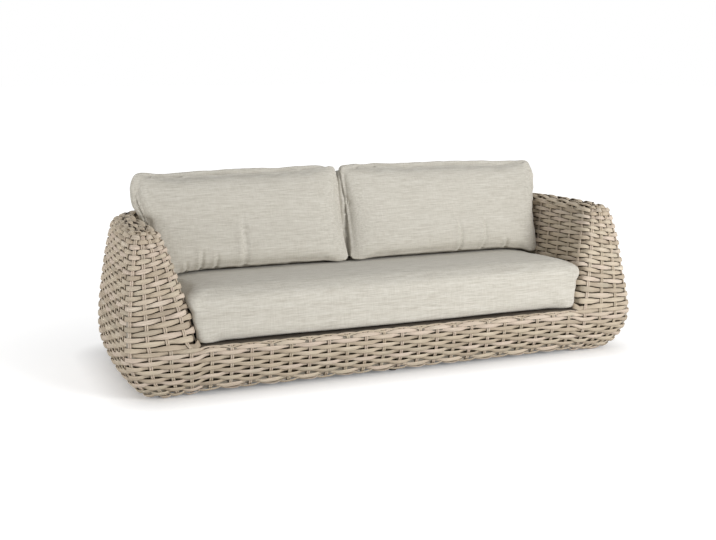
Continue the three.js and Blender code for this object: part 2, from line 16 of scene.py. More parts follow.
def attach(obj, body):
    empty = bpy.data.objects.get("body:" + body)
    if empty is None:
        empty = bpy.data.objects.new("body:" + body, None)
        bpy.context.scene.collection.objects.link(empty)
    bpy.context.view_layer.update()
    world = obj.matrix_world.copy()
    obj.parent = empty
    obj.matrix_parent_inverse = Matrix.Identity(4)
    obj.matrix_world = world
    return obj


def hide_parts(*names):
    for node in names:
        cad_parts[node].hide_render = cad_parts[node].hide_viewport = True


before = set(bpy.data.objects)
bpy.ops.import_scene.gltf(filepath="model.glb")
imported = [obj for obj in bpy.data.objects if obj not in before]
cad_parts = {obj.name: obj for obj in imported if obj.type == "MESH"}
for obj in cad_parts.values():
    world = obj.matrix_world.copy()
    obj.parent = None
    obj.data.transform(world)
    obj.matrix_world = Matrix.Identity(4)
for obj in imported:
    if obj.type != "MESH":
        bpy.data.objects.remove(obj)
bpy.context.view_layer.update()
scene = bpy.context.scene

# Woven walls
WIDTH, DEPTH, HEIGHT = 2.290, 0.930, 0.645
WIDEST, DECK, SKIRT = 0.190, 0.205, 0.004
SIDE_BOW, BACK_BOW, FACE_BOW, BAY_BOW = 0.010, 0.008, 0.005, 0.003
FOOT_TUCK, FRONT_TUCK, SIDE_TAPER, FRONT_LEAN = 0.135, 0.092, 0.066, 0.130
ARM_TOP, BACK_TOP, BACK_RAKE = 0.118, 0.138, 0.137
ARM_WIDTH = 0.290
BAY_HALF = WIDTH / 2 - SIDE_BOW - ARM_WIDTH
BAY_SETBACK, BAY_TOP_SETBACK = 0.012, -0.012
CROWN = 0.030
BACK_RADIUS, BAY_RADIUS = 0.345, 0.125
FRONT_RADIUS, BAY_FRONT_RADIUS, SEAM_RADIUS = 0.046, 0.058, 0.004
SKIN, TUBE_RADIUS, TUBE_GAP = 0.010, 0.014, 0.0003
WRAP = TUBE_RADIUS + TUBE_GAP + SKIN
BASE_RAIL, RIM_RAIL = 0.042, DECK - WRAP
SHOULDER = HEIGHT - CROWN
TAPER_POWER, LEAN_POWER = 1.6, 1.3

# The arms' outer front corner comes forward above CORNER_START and spreads by a share of that
CORNER_LEAN, CORNER_START, CORNER_RUN, CORNER_SPREAD_SHARE = 0.036, 0.30, 0.32, 0.2
# The rows of the arms' front faces rise towards the seat, less near the deck and the top
ROW_TILT, TILT_POWER, TILT_IN, TILT_OUT = 0.032, 1.4, 0.11, 0.16
# Half the width over which an arm's face passes into the front band
BAND_BLEND = 0.034

# Weave: rows above and below the rim, samples from stake to stake, and stakes per stretch
ROWS_UP, ROWS_DOWN = 26, 13
STEPS, LEVELS = 8, 4
SIDE_SPANS, BACK_SPANS, ARM_SPANS, BAY_SPANS, BAY_BACK_SPANS, BAND_SPANS = 12, 28, 3.5, 6.5, 22, 21
ROW_WIDTH, ROW_THICK, ROW_LIFT, ROW_DEPTH = 0.0190, 0.0068, 0.0060, 0.0076
ROW_PITCH, DECK_PITCH = 0.0190, 0.077
STAKE_WIDTH, STAKE_THICK, STAKE_PITCH = 0.0072, 0.0056, 0.0074
# The dark sheet behind the strands, painted shade for the gaps of the weave: its depth, thickness and step
# in samples
SHADE_SHEET_DEPTH, SHADE_SHEET_THICK, SHADE_SHEET_STEP = 0.0170, 0.0016, 4

# The slit along the top that the ridge strand closes, at the arms and at the back
ARM_SLIT, BACK_SLIT, SLIT_BLEND, RIDGE_RISE = 0.0095, 0.0195, 5, 0.0036


def smooth(value):
    value = np.clip(value, 0.0, 1.0)
    return value * value * (3 - 2 * value)


def past(value, start, run):
    """0 up to the start, then a soft rise over the run to 1."""
    return smooth((value - start) / run)


def short_of(value, end, run):
    """0 from the end on, after a soft fall over the run from 1."""
    return smooth((end - value) / run)


def mix(a, b, share):
    return a + (b - a) * share


def unit(vector):
    length = np.linalg.norm(vector, axis=-1, keepdims=True)
    return vector / np.maximum(length, 1e-12)


def measured(points):
    """How far along the line each of its points lies."""
    return np.concatenate([[0], np.cumsum(np.linalg.norm(np.diff(points, axis=0), axis=1))])


def sampled(wanted, reach, line, period=None):
    """The line's places at the wanted distances."""
    columns = [np.interp(wanted, reach, line[:, axis], period=period) for axis in range(line.shape[1])]
    return np.stack(columns, 1)


# The walls as functions of height
def foot_share(z):
    return 1 - math.sqrt(1 - max(0.0, (WIDEST - z) / WIDEST) ** 2)


def rise_share(z):
    return max(0.0, (z - WIDEST) / (HEIGHT - WIDEST))


def deck_share(z):
    return max(0.0, (z - DECK) / (HEIGHT - DECK))


def outer_draw(z):
    return FOOT_TUCK * foot_share(z) + SIDE_TAPER * rise_share(z) ** TAPER_POWER


def outer_side(z):
    return WIDTH / 2 - SIDE_BOW - outer_draw(z)


def outer_back(z):
    return DEPTH / 2 - BACK_BOW - outer_draw(z)


def outer_front(z):
    return FRONT_TUCK * foot_share(z) + FRONT_LEAN * rise_share(z) ** LEAN_POWER + FACE_BOW - DEPTH / 2


def inner_side(z):
    return mix(BAY_HALF, WIDTH / 2 - SIDE_TAPER - ARM_TOP, deck_share(z))


def inner_back(z):
    top = DEPTH / 2 - SIDE_TAPER - BACK_TOP
    return mix(top - BACK_RAKE, top, deck_share(z))


def rim_share(z):
    return float(past(z, DECK - SKIN, CROWN + SKIN))


def inner_setback(z):
    return rim_share(z) * mix(BAY_SETBACK, BAY_TOP_SETBACK, deck_share(z))


def corner_shift(z):
    """Towards the top the arms' outer front corner comes forward of the face's own lean."""
    return -CORNER_LEAN * float(past(z, CORNER_START, CORNER_RUN))


ARC_STEPS, EDGE_STEPS = 16, 40


def rounded(corners):
    """Arcs and bowed edges of a closed outline; a corner has its place, radius and the bow of the
    edge that follows. Returns one polyline from the middle of each corner to the next."""
    count = len(corners)
    arcs = []
    for i, (place, radius, _) in enumerate(corners):
        place = np.array(place)
        back = unit(np.array(corners[i - 1][0]) - place)
        ahead = unit(np.array(corners[(i + 1) % count][0]) - place)
        half = math.acos(np.clip(back @ ahead, -1, 1)) / 2
        centre = place + unit(back + ahead) * radius / math.sin(half)
        start = place + back * radius / math.tan(half) - centre
        end = place + ahead * radius / math.tan(half) - centre
        turn = math.atan2(start[1], start[0])
        sweep = math.atan2(end[1], end[0]) - turn
        sweep -= round(sweep / math.tau) * math.tau
        angles = turn + sweep * np.linspace(0, 1, ARC_STEPS + 1)
        arcs.append(centre + radius * np.stack([np.cos(angles), np.sin(angles)], 1))
    stretches = []
    half_arc = ARC_STEPS // 2
    for i, (_, _, bow) in enumerate(corners):
        arc, next_arc = arcs[i], arcs[(i + 1) % count]
        start, end = arc[-1], next_arc[0]
        along = np.linspace(0, 1, EDGE_STEPS + 2)[1:-1, None]
        outward = unit(np.array([end[1] - start[1], start[0] - end[0]]))
        edge = mix(start, end, along) + outward * bow * np.sin(math.pi * along)
        stretches.append(np.concatenate([arc[half_arc:], edge, next_arc[:half_arc + 1]]))
    return stretches


def spaced(line, spans):
    """A polyline measured out into even steps, without its last point."""
    reach = measured(line)
    wanted = np.linspace(0, reach[-1], round(spans * STEPS) + 1)[:-1]
    return sampled(wanted, reach, line)


def upper_ring(z, inset):
    """A row above the rim: round the outside, over each arm's front face and round the seat bay."""
    side, front, back = outer_side(z) - inset, outer_front(z) + inset, outer_back(z) - inset
    bay, bay_back = inner_side(z) + inset, inner_back(z) + inset
    bay_front = front + inner_setback(z)
    fore = max(FRONT_RADIUS - inset, SEAM_RADIUS)
    inner_fore = max(mix(SEAM_RADIUS, BAY_FRONT_RADIUS, rim_share(z)) - inset, SEAM_RADIUS)
    shift = corner_shift(z)
    corner_x, corner_y = side - CORNER_SPREAD_SHARE * shift, front + shift
    stretches = rounded([
        ((corner_x, corner_y), fore, SIDE_BOW),
        ((side, back), BACK_RADIUS - inset, BACK_BOW),
        ((-side, back), BACK_RADIUS - inset, SIDE_BOW),
        ((-corner_x, corner_y), fore, FACE_BOW),
        ((-bay, bay_front), inner_fore, BAY_BOW),
        ((-bay, bay_back), BAY_RADIUS + inset, BAY_BOW),
        ((bay, bay_back), BAY_RADIUS + inset, BAY_BOW),
        ((bay, bay_front), inner_fore, FACE_BOW),
    ])
    spans = (SIDE_SPANS, BACK_SPANS, SIDE_SPANS, ARM_SPANS, BAY_SPANS, BAY_BACK_SPANS, BAY_SPANS, ARM_SPANS)
    flat = np.concatenate([spaced(line, n) for line, n in zip(stretches, spans)])
    ends = np.cumsum([0, *spans])
    tilt = np.interp(np.arange(len(flat)) / STEPS, ends[[0, 3, 4, 5, 6, 7, 8]], [0, 0, 1, 0, 0, 1, 0])
    lift = ROW_TILT * tilt ** TILT_POWER * past(z, DECK, TILT_IN) * short_of(z, HEIGHT, TILT_OUT)
    return np.column_stack([flat, z + lift])


def band_profile():
    """The front band from its top, over the rim rail, down its face and under the base rail."""
    rim_y, base_y = outer_front(WIDEST) + WRAP, outer_front(BASE_RAIL) + WRAP
    over = np.linspace(math.pi / 2, math.pi, 12)
    under = np.linspace(math.pi, 5 * math.pi / 3, 12)
    face_z = np.linspace(RIM_RAIL, BASE_RAIL, 14)[1:-1]
    line = np.concatenate([
        np.stack([rim_y + WRAP * np.cos(over), RIM_RAIL + WRAP * np.sin(over)], 1),
        np.stack([[outer_front(z) for z in face_z], face_z], 1),
        np.stack([base_y + WRAP * np.cos(under), BASE_RAIL + WRAP * np.sin(under)], 1),
    ])
    reach = measured(line)
    return reach / reach[-1], line


BAND_REACH, BAND_LINE = band_profile()


def lower_ring(z, share):
    """A row below the rim: round the sides and the back, then straight along the whole front."""
    side, front, back = outer_side(z), outer_front(z), outer_back(z)
    shift = corner_shift(z)
    corner_x, corner_y = side - CORNER_SPREAD_SHARE * shift, front + shift
    right, rear, left, fore = rounded([
        ((corner_x, corner_y), FRONT_RADIUS, SIDE_BOW),
        ((side, back), BACK_RADIUS, BACK_BOW),
        ((-side, back), BACK_RADIUS, SIDE_BOW),
        ((-corner_x, corner_y), FRONT_RADIUS, 0.0),
    ])
    middle = np.abs(fore[:, 0]) < BAY_HALF
    first = int(np.argmax(middle))
    fore[:, 1] -= shift * np.clip((side - np.abs(fore[:, 0])) / (side - BAY_HALF), 0, 1)
    join = np.array([[-BAY_HALF, front]])
    arm = np.concatenate([fore[:first], join])
    band = np.array([[-BAY_HALF, front], [BAY_HALF, front]])
    other = (arm * [-1, 1])[::-1]
    spans = (SIDE_SPANS, BACK_SPANS, SIDE_SPANS, ARM_SPANS, BAND_SPANS, ARM_SPANS)
    parts = [spaced(line, n) for line, n in zip((right, rear, left, arm, band, other), spans)]
    flat = np.concatenate(parts)
    ring = np.column_stack([flat, np.full(len(flat), z)])
    on_front = np.arange(len(ring)) >= sum(len(p) for p in parts[:3])
    over_arm = np.clip((np.abs(ring[:, 0]) - BAY_HALF) / (side - BAY_HALF), 0, 1)
    arm_bow = FACE_BOW * np.sin(math.pi * over_arm)
    band_y = np.interp(share, BAND_REACH, BAND_LINE[:, 0])
    band_z = np.interp(share, BAND_REACH, BAND_LINE[:, 1])
    weight = short_of(np.abs(ring[:, 0]), BAY_HALF + BAND_BLEND, 2 * BAND_BLEND)
    ring[on_front, 1] -= arm_bow[on_front]
    ring[on_front, 1] = mix(ring[on_front, 1], band_y, weight[on_front])
    ring[on_front, 2] = mix(z, band_z, weight[on_front])
    return ring


def upper_levels():
    """Height and inset at even steps from the rim, up the wall, over the crown, to the middle."""
    heights = np.linspace(DECK, SHOULDER, 60)
    turns = np.linspace(0, math.pi / 2, 16)[1:]
    z = np.concatenate([heights, SHOULDER + CROWN * np.sin(turns), [HEIGHT]])
    inset = np.concatenate([0 * heights, CROWN * (1 - np.cos(turns)), [ARM_TOP / 2]])
    lean = np.array([(outer_draw(h) + outer_front(h)) / 2 for h in z])
    reach = measured(np.stack([z, inset + lean], 1))
    wanted = np.linspace(0, reach[-1], ROWS_UP * LEVELS + 1)
    return np.interp(wanted, reach, z), np.interp(wanted, reach, inset)


def lower_levels():
    """Height and share of the way at even steps from the rim down to the foot."""
    heights = SKIRT + (DECK - SKIRT) * np.cos(np.linspace(0, math.pi / 2, 80))
    draw = np.array([(outer_draw(h) + outer_front(h)) / 2 for h in heights])
    reach = measured(np.stack([heights, draw], 1))
    wanted = np.linspace(0, reach[-1], ROWS_DOWN * LEVELS + 1)
    return np.interp(wanted, reach, heights), wanted / reach[-1]


def with_normals(grid, upward):
    """Along, up and outward directions of a grid of rings."""
    along = unit(np.roll(grid, -1, axis=1) - np.roll(grid, 1, axis=1))
    up = unit(np.gradient(grid, axis=0)) * upward
    return along, up, unit(np.cross(along, up))


up_z, up_inset = upper_levels()
down_z, down_share = lower_levels()
UP = np.stack([upper_ring(z, min(inset, ARM_TOP / 2 - ARM_SLIT)) for z, inset in zip(up_z, up_inset)])
DOWN = np.stack([lower_ring(z, share) for z, share in zip(down_z, down_share)])
UP_ALONG, _, UP_OUT = with_normals(UP, 1)
DOWN_ALONG, DOWN_UP, DOWN_OUT = with_normals(DOWN, -1)


# Node trees written as Python
class Wire:
    """An output socket. Sums, products and powers of wires add Math nodes to the tree."""

    def __init__(self, graph, socket):
        self.graph, self.socket = graph, socket

    def __getitem__(self, name):
        return Wire(self.graph, self.socket.node.outputs[name])

    def math(self, operation, *values):
        return self.graph.add("ShaderNodeMath", {"operation": operation}, dict(enumerate(values)))

    def __add__(self, other):
        return self.math("ADD", self, other)

    def __sub__(self, other):
        return self.math("SUBTRACT", self, other)

    def __rsub__(self, other):
        return self.math("SUBTRACT", other, self)

    def __mul__(self, other):
        return self.math("MULTIPLY", self, other)

    def __pow__(self, other):
        return self.math("POWER", self, other)

    __radd__, __rmul__ = __add__, __mul__


class Graph:
    """A node tree, with one way of adding any node."""

    def __init__(self, tree):
        self.tree = tree

    def add(self, kind, settings=None, values=None):
        node = self.tree.nodes.new(kind)
        for name, value in (settings or {}).items():
            if name == "stops":
                ramp = node.color_ramp.elements
                while len(ramp) < len(value):
                    ramp.new(1.0)
                for element, (place, colour) in zip(ramp, value):
                    element.position, element.color = place, (*colour, 1.0)
            else:
                setattr(node, name, value)
        for name, value in (values or {}).items():
            socket = node.inputs[name]
            if isinstance(value, Wire):
                self.tree.links.new(value.socket, socket)
            elif isinstance(value, tuple) and socket.type == "RGBA":
                socket.default_value = (*value, 1.0)
            else:
                socket.default_value = value
        return Wire(self, node.outputs[0] if node.outputs else None)

    def noise(self, vector, scale, detail=2.0, roughness=0.5):
        return self.add("ShaderNodeTexNoise", {}, {
            "Vector": vector, "Scale": scale, "Detail": detail, "Roughness": roughness})["Fac"]

    def attribute(self, name):
        return self.add("ShaderNodeAttribute", {"attribute_name": name})["Fac"]

    def joined(self, x, y, z):
        return self.add("ShaderNodeCombineXYZ", {}, {0: x, 1: y, 2: z})

    def stretched(self, vector, scale):
        return self.add("ShaderNodeMapping", {}, {"Vector": vector, "Scale": scale})

    def ramp(self, value, stops):
        return self.add("ShaderNodeValToRGB", {"stops": stops}, {"Fac": value})

    def mixed(self, share, a, b):
        node = self.add("ShaderNodeMix", {"data_type": "RGBA"}, {0: share, 6: a, 7: b})
        return Wire(self, node.socket.node.outputs[2])

    def vector(self, operation, *values):
        return self.add("ShaderNodeVectorMath", {"operation": operation}, dict(enumerate(values)))


def new_material(name, paint):
    """paint gets the graph and the Principled node's input values to fill."""
    material = bpy.data.materials.new(name)
    material.use_nodes = True
    tree = material.node_tree
    tree.nodes.clear()
    graph = Graph(tree)
    values = paint(graph)
    shader = graph.add("ShaderNodeBsdfPrincipled", {}, values)
    graph.add("ShaderNodeOutputMaterial", {}, {"Surface": shader})
    return material


def bumped(graph, height, distance):
    return graph.add("ShaderNodeBump", {}, {"Strength": 1.0, "Distance": distance, "Height": height})


def object_place(graph):
    return graph.add("ShaderNodeTexCoord")["Object"]


def grey(level):
    return level, level, level


# Finishes, with their colours from dark to light
STRAND_TONES = [(0.12, (0.400, 0.330, 0.250)), (0.34, (0.560, 0.465, 0.350)), (0.52, (0.650, 0.560, 0.430)),
                (0.70, (0.690, 0.570, 0.470)), (0.90, (0.740, 0.660, 0.530))]
GREEN_TINGE, BROWN_STREAK = (0.480, 0.455, 0.360), (0.300, 0.240, 0.170)
THREAD_TONES = [(0.36, (0.470, 0.440, 0.378)), (0.50, (0.575, 0.547, 0.480)), (0.63, (0.660, 0.636, 0.573))]
LINEN_SHADE = (0.500, 0.475, 0.415)
# The deck is near-black, painted shade for the shadow under the seat cushion, and darkest in its gaps
SHADED_DECK_DARK, SHADED_DECK_LIGHT, DECK_GAP_SHADE = (0.055, 0.043, 0.031), (0.100, 0.080, 0.058), (0.030, 0.023, 0.016)


def paint_wicker(graph):
    place = object_place(graph)
    strand, along, across = (graph.attribute(n) for n in ("strand", "along", "across"))
    drift = graph.noise(graph.joined(along * 5.0, strand * 37.0, 0.0), 1.0, 2.0)
    tone = graph.ramp(strand * 0.55 + drift * 0.75 - 0.15, STRAND_TONES)
    tinge = graph.noise(graph.joined(along * 9.0, strand * 91.0, 3.0), 1.0, 1.0)
    tone = graph.mixed(graph.ramp(tinge, [(0.55, grey(0)), (0.80, grey(0.5))]), tone, GREEN_TINGE)
    streak = graph.noise(graph.joined(along * 14.0, across * 5.0, strand * 53.0), 1.0, 3.0, 0.65)
    tone = graph.mixed(graph.ramp(streak, [(0.42, grey(0.42)), (0.60, grey(0))]), tone, BROWN_STREAK)
    groove = graph.noise(graph.joined(along * 5.0, across * 9.0, strand * 17.0), 1.0, 3.0, 0.6)
    grain = graph.noise(place, 900.0, 1.0)
    return {
        "Base Color": tone,
        "Roughness": 0.50 + streak * 0.22,
        "Specular IOR Level": 0.35,
        "Normal": bumped(graph, groove * 0.8 + grain * 0.2, 0.0011),
    }


# Painted shade: a near-black sheet stands in for the shadow seen through the gaps of the weave
def paint_shade_sheet(graph):
    place = object_place(graph)
    shade = graph.noise(place, 30.0, 2.0)
    tone = graph.ramp(shade, [(0.35, (0.030, 0.022, 0.015)), (0.65, (0.062, 0.046, 0.032))])
    return {"Base Color": tone, "Roughness": 0.9, "Specular IOR Level": 0.1,
            "Normal": bumped(graph, shade, 0.001)}


def paint_fabric(graph):
    place = object_place(graph)
    weft = graph.noise(graph.stretched(place, (22.0, 240.0, 330.0)), 1.0, 3.0, 0.6)
    slub = graph.noise(graph.stretched(place, (9.0, 120.0, 190.0)), 1.0, 2.0, 0.5)
    warp = graph.noise(graph.stretched(place, (330.0, 60.0, 26.0)), 1.0, 2.0, 0.5)
    cloud = graph.noise(place, 3.2, 2.0)
    thread = graph.ramp(weft * 0.5 + slub * 0.3 + warp * 0.2, THREAD_TONES)
    soft = graph.mixed(graph.ramp(cloud, [(0.35, grey(0.10)), (0.65, grey(0))]), thread, LINEN_SHADE)
    return {
        "Base Color": soft,
        "Roughness": 0.90 + weft * 0.08,
        "Specular IOR Level": 0.18,
        "Sheen Weight": 0.12,
        "Sheen Roughness": 0.5,
        "Normal": bumped(graph, weft * 0.6 + warp * 0.4, 0.0014),
    }


def paint_powder_coat(graph):
    place = object_place(graph)
    peel = graph.noise(place, 420.0, 2.0)
    wear = graph.noise(place, 14.0, 3.0, 0.6)
    tone = graph.ramp(wear, [(0.35, (0.205, 0.180, 0.140)), (0.65, (0.265, 0.235, 0.190))])
    return {"Base Color": tone, "Roughness": 0.42 + wear * 0.2, "Metallic": 0.15,
            "Normal": bumped(graph, peel, 0.0004)}


def paint_nylon(graph):
    place = object_place(graph)
    speckle = graph.noise(place, 600.0, 2.0)
    scuff = graph.noise(place, 40.0, 4.0, 0.7)
    tone = graph.ramp(scuff, [(0.45, (0.020, 0.019, 0.018)), (0.75, (0.055, 0.052, 0.048))])
    return {"Base Color": tone, "Roughness": 0.45 + scuff * 0.25, "Normal": bumped(graph, speckle, 0.0003)}


# Painted shade: the deck's weave is coloured near-black for the cushion's shadow, darker still between its
# rows
def paint_shaded_deck(graph):
    place = object_place(graph)
    xyz = graph.add("ShaderNodeSeparateXYZ", {}, {0: place})
    row = xyz["Y"] * (math.pi / ROW_PITCH)
    stake = xyz["X"] * (math.pi / DECK_PITCH)
    rib = row.math("ABSOLUTE", row.math("SINE", row))
    count = row.math("FLOOR", xyz["Y"] * (1 / ROW_PITCH))
    over = row.math("ABSOLUTE", row.math("SINE", stake + count * (math.pi / 2)))
    height = rib * (over * 0.6 + 0.4)
    shade = graph.noise(graph.stretched(place, (6.0, 52.6, 1.0)), 1.0, 2.0)
    tone = graph.mixed(graph.ramp(shade, [(0.35, grey(0)), (0.65, grey(1))]), SHADED_DECK_DARK, SHADED_DECK_LIGHT)
    # Painted shade in the hollows between the rows
    tone = graph.mixed(graph.ramp(height, [(0.10, grey(0.85)), (0.45, grey(0))]), tone, DECK_GAP_SHADE)
    return {"Base Color": tone, "Roughness": 0.6, "Normal": bumped(graph, height, 0.004)}


WICKER = new_material("woven_strand", paint_wicker)
SHADE_SHEET = new_material("painted_shade_sheet", paint_shade_sheet)
FABRIC = new_material("oatmeal_linen", paint_fabric)
POWDER = new_material("powder_coat", paint_powder_coat)
NYLON = new_material("moulded_nylon", paint_nylon)
SHADED_DECK_WEAVE = new_material("shaded_deck_weave", paint_shaded_deck)


# Geometry nodes that turn paths into strands
def geometry_tree(name, floats, build):
    tree = bpy.data.node_groups.new(name, "GeometryNodeTree")
    tree.interface.new_socket("Paths", in_out="INPUT", socket_type="NodeSocketGeometry")
    for label in floats:
        tree.interface.new_socket(label, in_out="INPUT", socket_type="NodeSocketFloat")
    tree.interface.new_socket("Sides", in_out="INPUT", socket_type="NodeSocketInt")
    tree.interface.new_socket("Finish", in_out="INPUT", socket_type="NodeSocketMaterial")
    tree.interface.new_socket("Strands", in_out="OUTPUT", socket_type="NodeSocketGeometry")
    graph = Graph(tree)
    given = graph.add("NodeGroupInput")
    graph.add("NodeGroupOutput", {}, {"Strands": build(graph, given)})
    return tree


def build_strands(graph, given):
    """A half-round strand along each path. It swings out and in by the cosine of its weave, its
    back is flattened, and it is slimmer where it passes behind a stake."""
    def named(label, kind="FLOAT"):
        return graph.add("GeometryNodeInputNamedAttribute", {"data_type": kind}, {"Name": label})

    def stored(geometry, label, value):
        return graph.add("GeometryNodeStoreNamedAttribute", {"data_type": "FLOAT", "domain": "POINT"},
                         {"Geometry": geometry, "Name": label, "Value": value})

    def scaled(vector, by):
        return graph.add("ShaderNodeVectorMath", {"operation": "SCALE"}, {"Vector": vector, "Scale": by})

    outward = named("outward", "FLOAT_VECTOR")
    turn = named("weave") * math.pi
    swing = turn.math("COSINE", turn)
    wave = swing * (1.6 - swing * swing * 0.6)
    path = graph.add("GeometryNodeMeshToCurve", {}, {"Mesh": given["Paths"]})
    stray = graph.add("ShaderNodeTexNoise", {}, {"Scale": 13.0, "Detail": 1.0})["Color"]
    swung = scaled(outward, wave * given["Lift"] - given["Depth"])
    lifted = graph.vector("ADD", swung, scaled(graph.vector("SUBTRACT", stray, grey(0.5)), given["Wander"]))
    path = graph.add("GeometryNodeSetPosition", {}, {"Geometry": path, "Offset": lifted})
    path = graph.add("GeometryNodeSetCurveNormal", {"mode": "FREE"}, {"Curve": path, "Normal": outward})
    path = stored(path, "along", graph.add("GeometryNodeSplineParameter")["Length"])
    ring = graph.add("GeometryNodeCurvePrimitiveCircle", {"mode": "RADIUS"}, {
        "Resolution": given["Sides"], "Radius": 1.0})
    spot = graph.add("ShaderNodeSeparateXYZ", {}, {0: graph.add("GeometryNodeInputPosition")})
    dome = spot["X"].math("MAXIMUM", spot["X"], 0.0) ** given["Flatness"]
    under = spot["X"].math("MINIMUM", spot["X"].math("MAXIMUM", spot["X"], given["Backing"] * -1.0), 0.0)
    shaped = graph.joined((dome + under) * given["Thickness"] * 0.5, spot["Y"] * given["Width"] * 0.5, 0.0)
    ring = stored(ring, "across", spot["Y"])
    ring = graph.add("GeometryNodeSetPosition", {}, {"Geometry": ring, "Position": shaped})
    slim = (1.0 - given["Slimming"] * (0.5 - wave * 0.5)) * named("broad")
    tube = graph.add("GeometryNodeCurveToMesh", {}, {
        "Curve": path, "Profile Curve": ring, "Scale": slim, "Fill Caps": True})
    tube = graph.add("GeometryNodeSetShadeSmooth", {}, {"Geometry": tube})
    tube = graph.add("GeometryNodeRealizeInstances", {}, {"Geometry": tube})
    return graph.add("GeometryNodeSetMaterial", {}, {"Geometry": tube, "Material": given["Finish"]})


STRANDS = geometry_tree(
    "woven_strands", ("Width", "Thickness", "Flatness", "Backing", "Lift", "Depth", "Slimming", "Wander"),
    build_strands)


def new_object(name, data):
    made = bpy.data.objects.new(name, data)
    scene.collection.objects.link(made)
    return made


def settled(made):
    """The object with its modifiers worked into its mesh."""
    depsgraph = bpy.context.evaluated_depsgraph_get()
    result = bpy.data.meshes.new_from_object(made.evaluated_get(depsgraph), depsgraph=depsgraph)
    rough = made.data
    made.modifiers.clear()
    made.data = result
    bpy.data.meshes.remove(rough)
    return made


def path_object(name, paths):
    """A mesh of open polylines; each path has points, outward directions, weave values and a tone."""
    mesh = bpy.data.meshes.new(name)
    counts = [len(path["points"]) for path in paths]
    starts = np.concatenate([[0], np.cumsum(counts)])
    edges = np.concatenate([
        np.stack([np.arange(n), (np.arange(n) + 1) % n], 1)[:n if path.get("closed") else n - 1] + first
        for path, n, first in zip(paths, counts, starts)])
    points = np.concatenate([path["points"] for path in paths])
    mesh.from_pydata(points.tolist(), edges.tolist(), [])

    def spread(key):
        return np.concatenate([np.broadcast_to(path.get(key, 1.0), (n,)) for path, n in zip(paths, counts)])

    outward = mesh.attributes.new("outward", "FLOAT_VECTOR", "POINT")
    outward.data.foreach_set("vector", np.concatenate([path["outward"] for path in paths]).ravel())
    for key in ("weave", "strand", "broad"):
        mesh.attributes.new(key, "FLOAT", "POINT").data.foreach_set("value", spread(key))
    return new_object(name, mesh)


def grown(made, tree, settings):
    """The tree's result on an object, as a plain mesh."""
    modifier = made.modifiers.new("nodes", "NODES")
    modifier.node_group = tree
    sockets = {item.name: item.identifier for item in tree.interface.items_tree if item.in_out == "INPUT"}
    for name, value in settings.items():
        modifier[sockets[name]] = value
    return settled(made)


def joined(name, parts):
    """One object from several, with their attributes kept."""
    whole = parts[0]
    with bpy.context.temp_override(active_object=whole, object=whole, selected_editable_objects=parts):
        bpy.ops.object.join()
    whole.name = whole.data.name = name
    return whole


ROW = {"Width": ROW_WIDTH, "Thickness": ROW_THICK, "Flatness": 0.55, "Backing": 0.30, "Lift": ROW_LIFT,
       "Depth": ROW_DEPTH, "Slimming": 0.27, "Wander": 0.0040, "Sides": 10, "Finish": WICKER}
STAKE = {"Width": STAKE_WIDTH, "Thickness": STAKE_THICK, "Flatness": 1.0, "Backing": 0.8, "Lift": 0.0,
         "Depth": ROW_DEPTH, "Slimming": 0.0, "Wander": 0.0030, "Sides": 6, "Finish": WICKER}
BORDER = {**STAKE, "Width": 0.0056, "Thickness": 0.0056, "Depth": 0.0, "Wander": 0.0050}

# Stake numbers round the wall: the outer corners, and the ends of the front band
LEFT_CORNER = SIDE_SPANS * 2 + BACK_SPANS
BAND_START = LEFT_CORNER + ARM_SPANS
BAY_END = BAND_START + 2 * BAY_SPANS + BAY_BACK_SPANS
UPPER_TOTAL = int(BAY_END + ARM_SPANS)
LOWER_TOTAL = int(BAND_START + BAND_SPANS + ARM_SPANS)
BAND_FIRST, BAND_LAST = round(BAND_START - 0.5), round(BAND_START + BAND_SPANS - 0.5)
BAY_LAST = round(BAY_END + 0.5)
# The panels meet this many stakes behind the arms' front corners, outside and inside
SIDE_JOINT, BAY_JOINT = 8, 5
ROPE_ROWS, ROPE_TWIST = 3, 0.0062
# The rim's arches, in levels below the rim, how deep they lie, and the dark sheet of painted shade close
# behind them
ARCH_FOOT, ARCH_TOP, ARCH_TWIN, ARCH_POWER = 4.4, 0.3, 0.8, 0.9
ARCH_FOOT_DEPTH, ARCH_TOP_DEPTH = 0.0075, 0.0042
RIM_SHADE_SHEET_LEVELS, RIM_SHADE_SHEET_SHIFT = 5, 0.0078
PANELS = ("left_arm", "right_arm", "back", "back_base", "bay_back", "front_band")
paths = {panel: {"row": [], "stake": []} for panel in PANELS}
tones = np.random.default_rng(11)


def hidden_stake(near, row):
    """The stake at or just past a joint that this row passes behind."""
    return near if (near + row) % 2 else near + 1


def run(grid, out, level, first, last, row, tone):
    """Part of a row from one stake to another, counted round the ring and as broad as its room."""
    pick = np.arange(first * STEPS, last * STEPS + 1)
    ring = pick % grid.shape[1]
    half = LEVELS // 2
    room = np.linalg.norm(grid[level + half, ring] - grid[level - half, ring], axis=1)
    return {"points": grid[level, ring], "outward": out[level, ring], "weave": pick / STEPS + row,
            "strand": tone, "broad": np.clip(room / ROW_PITCH, 0.7, 1.45)}


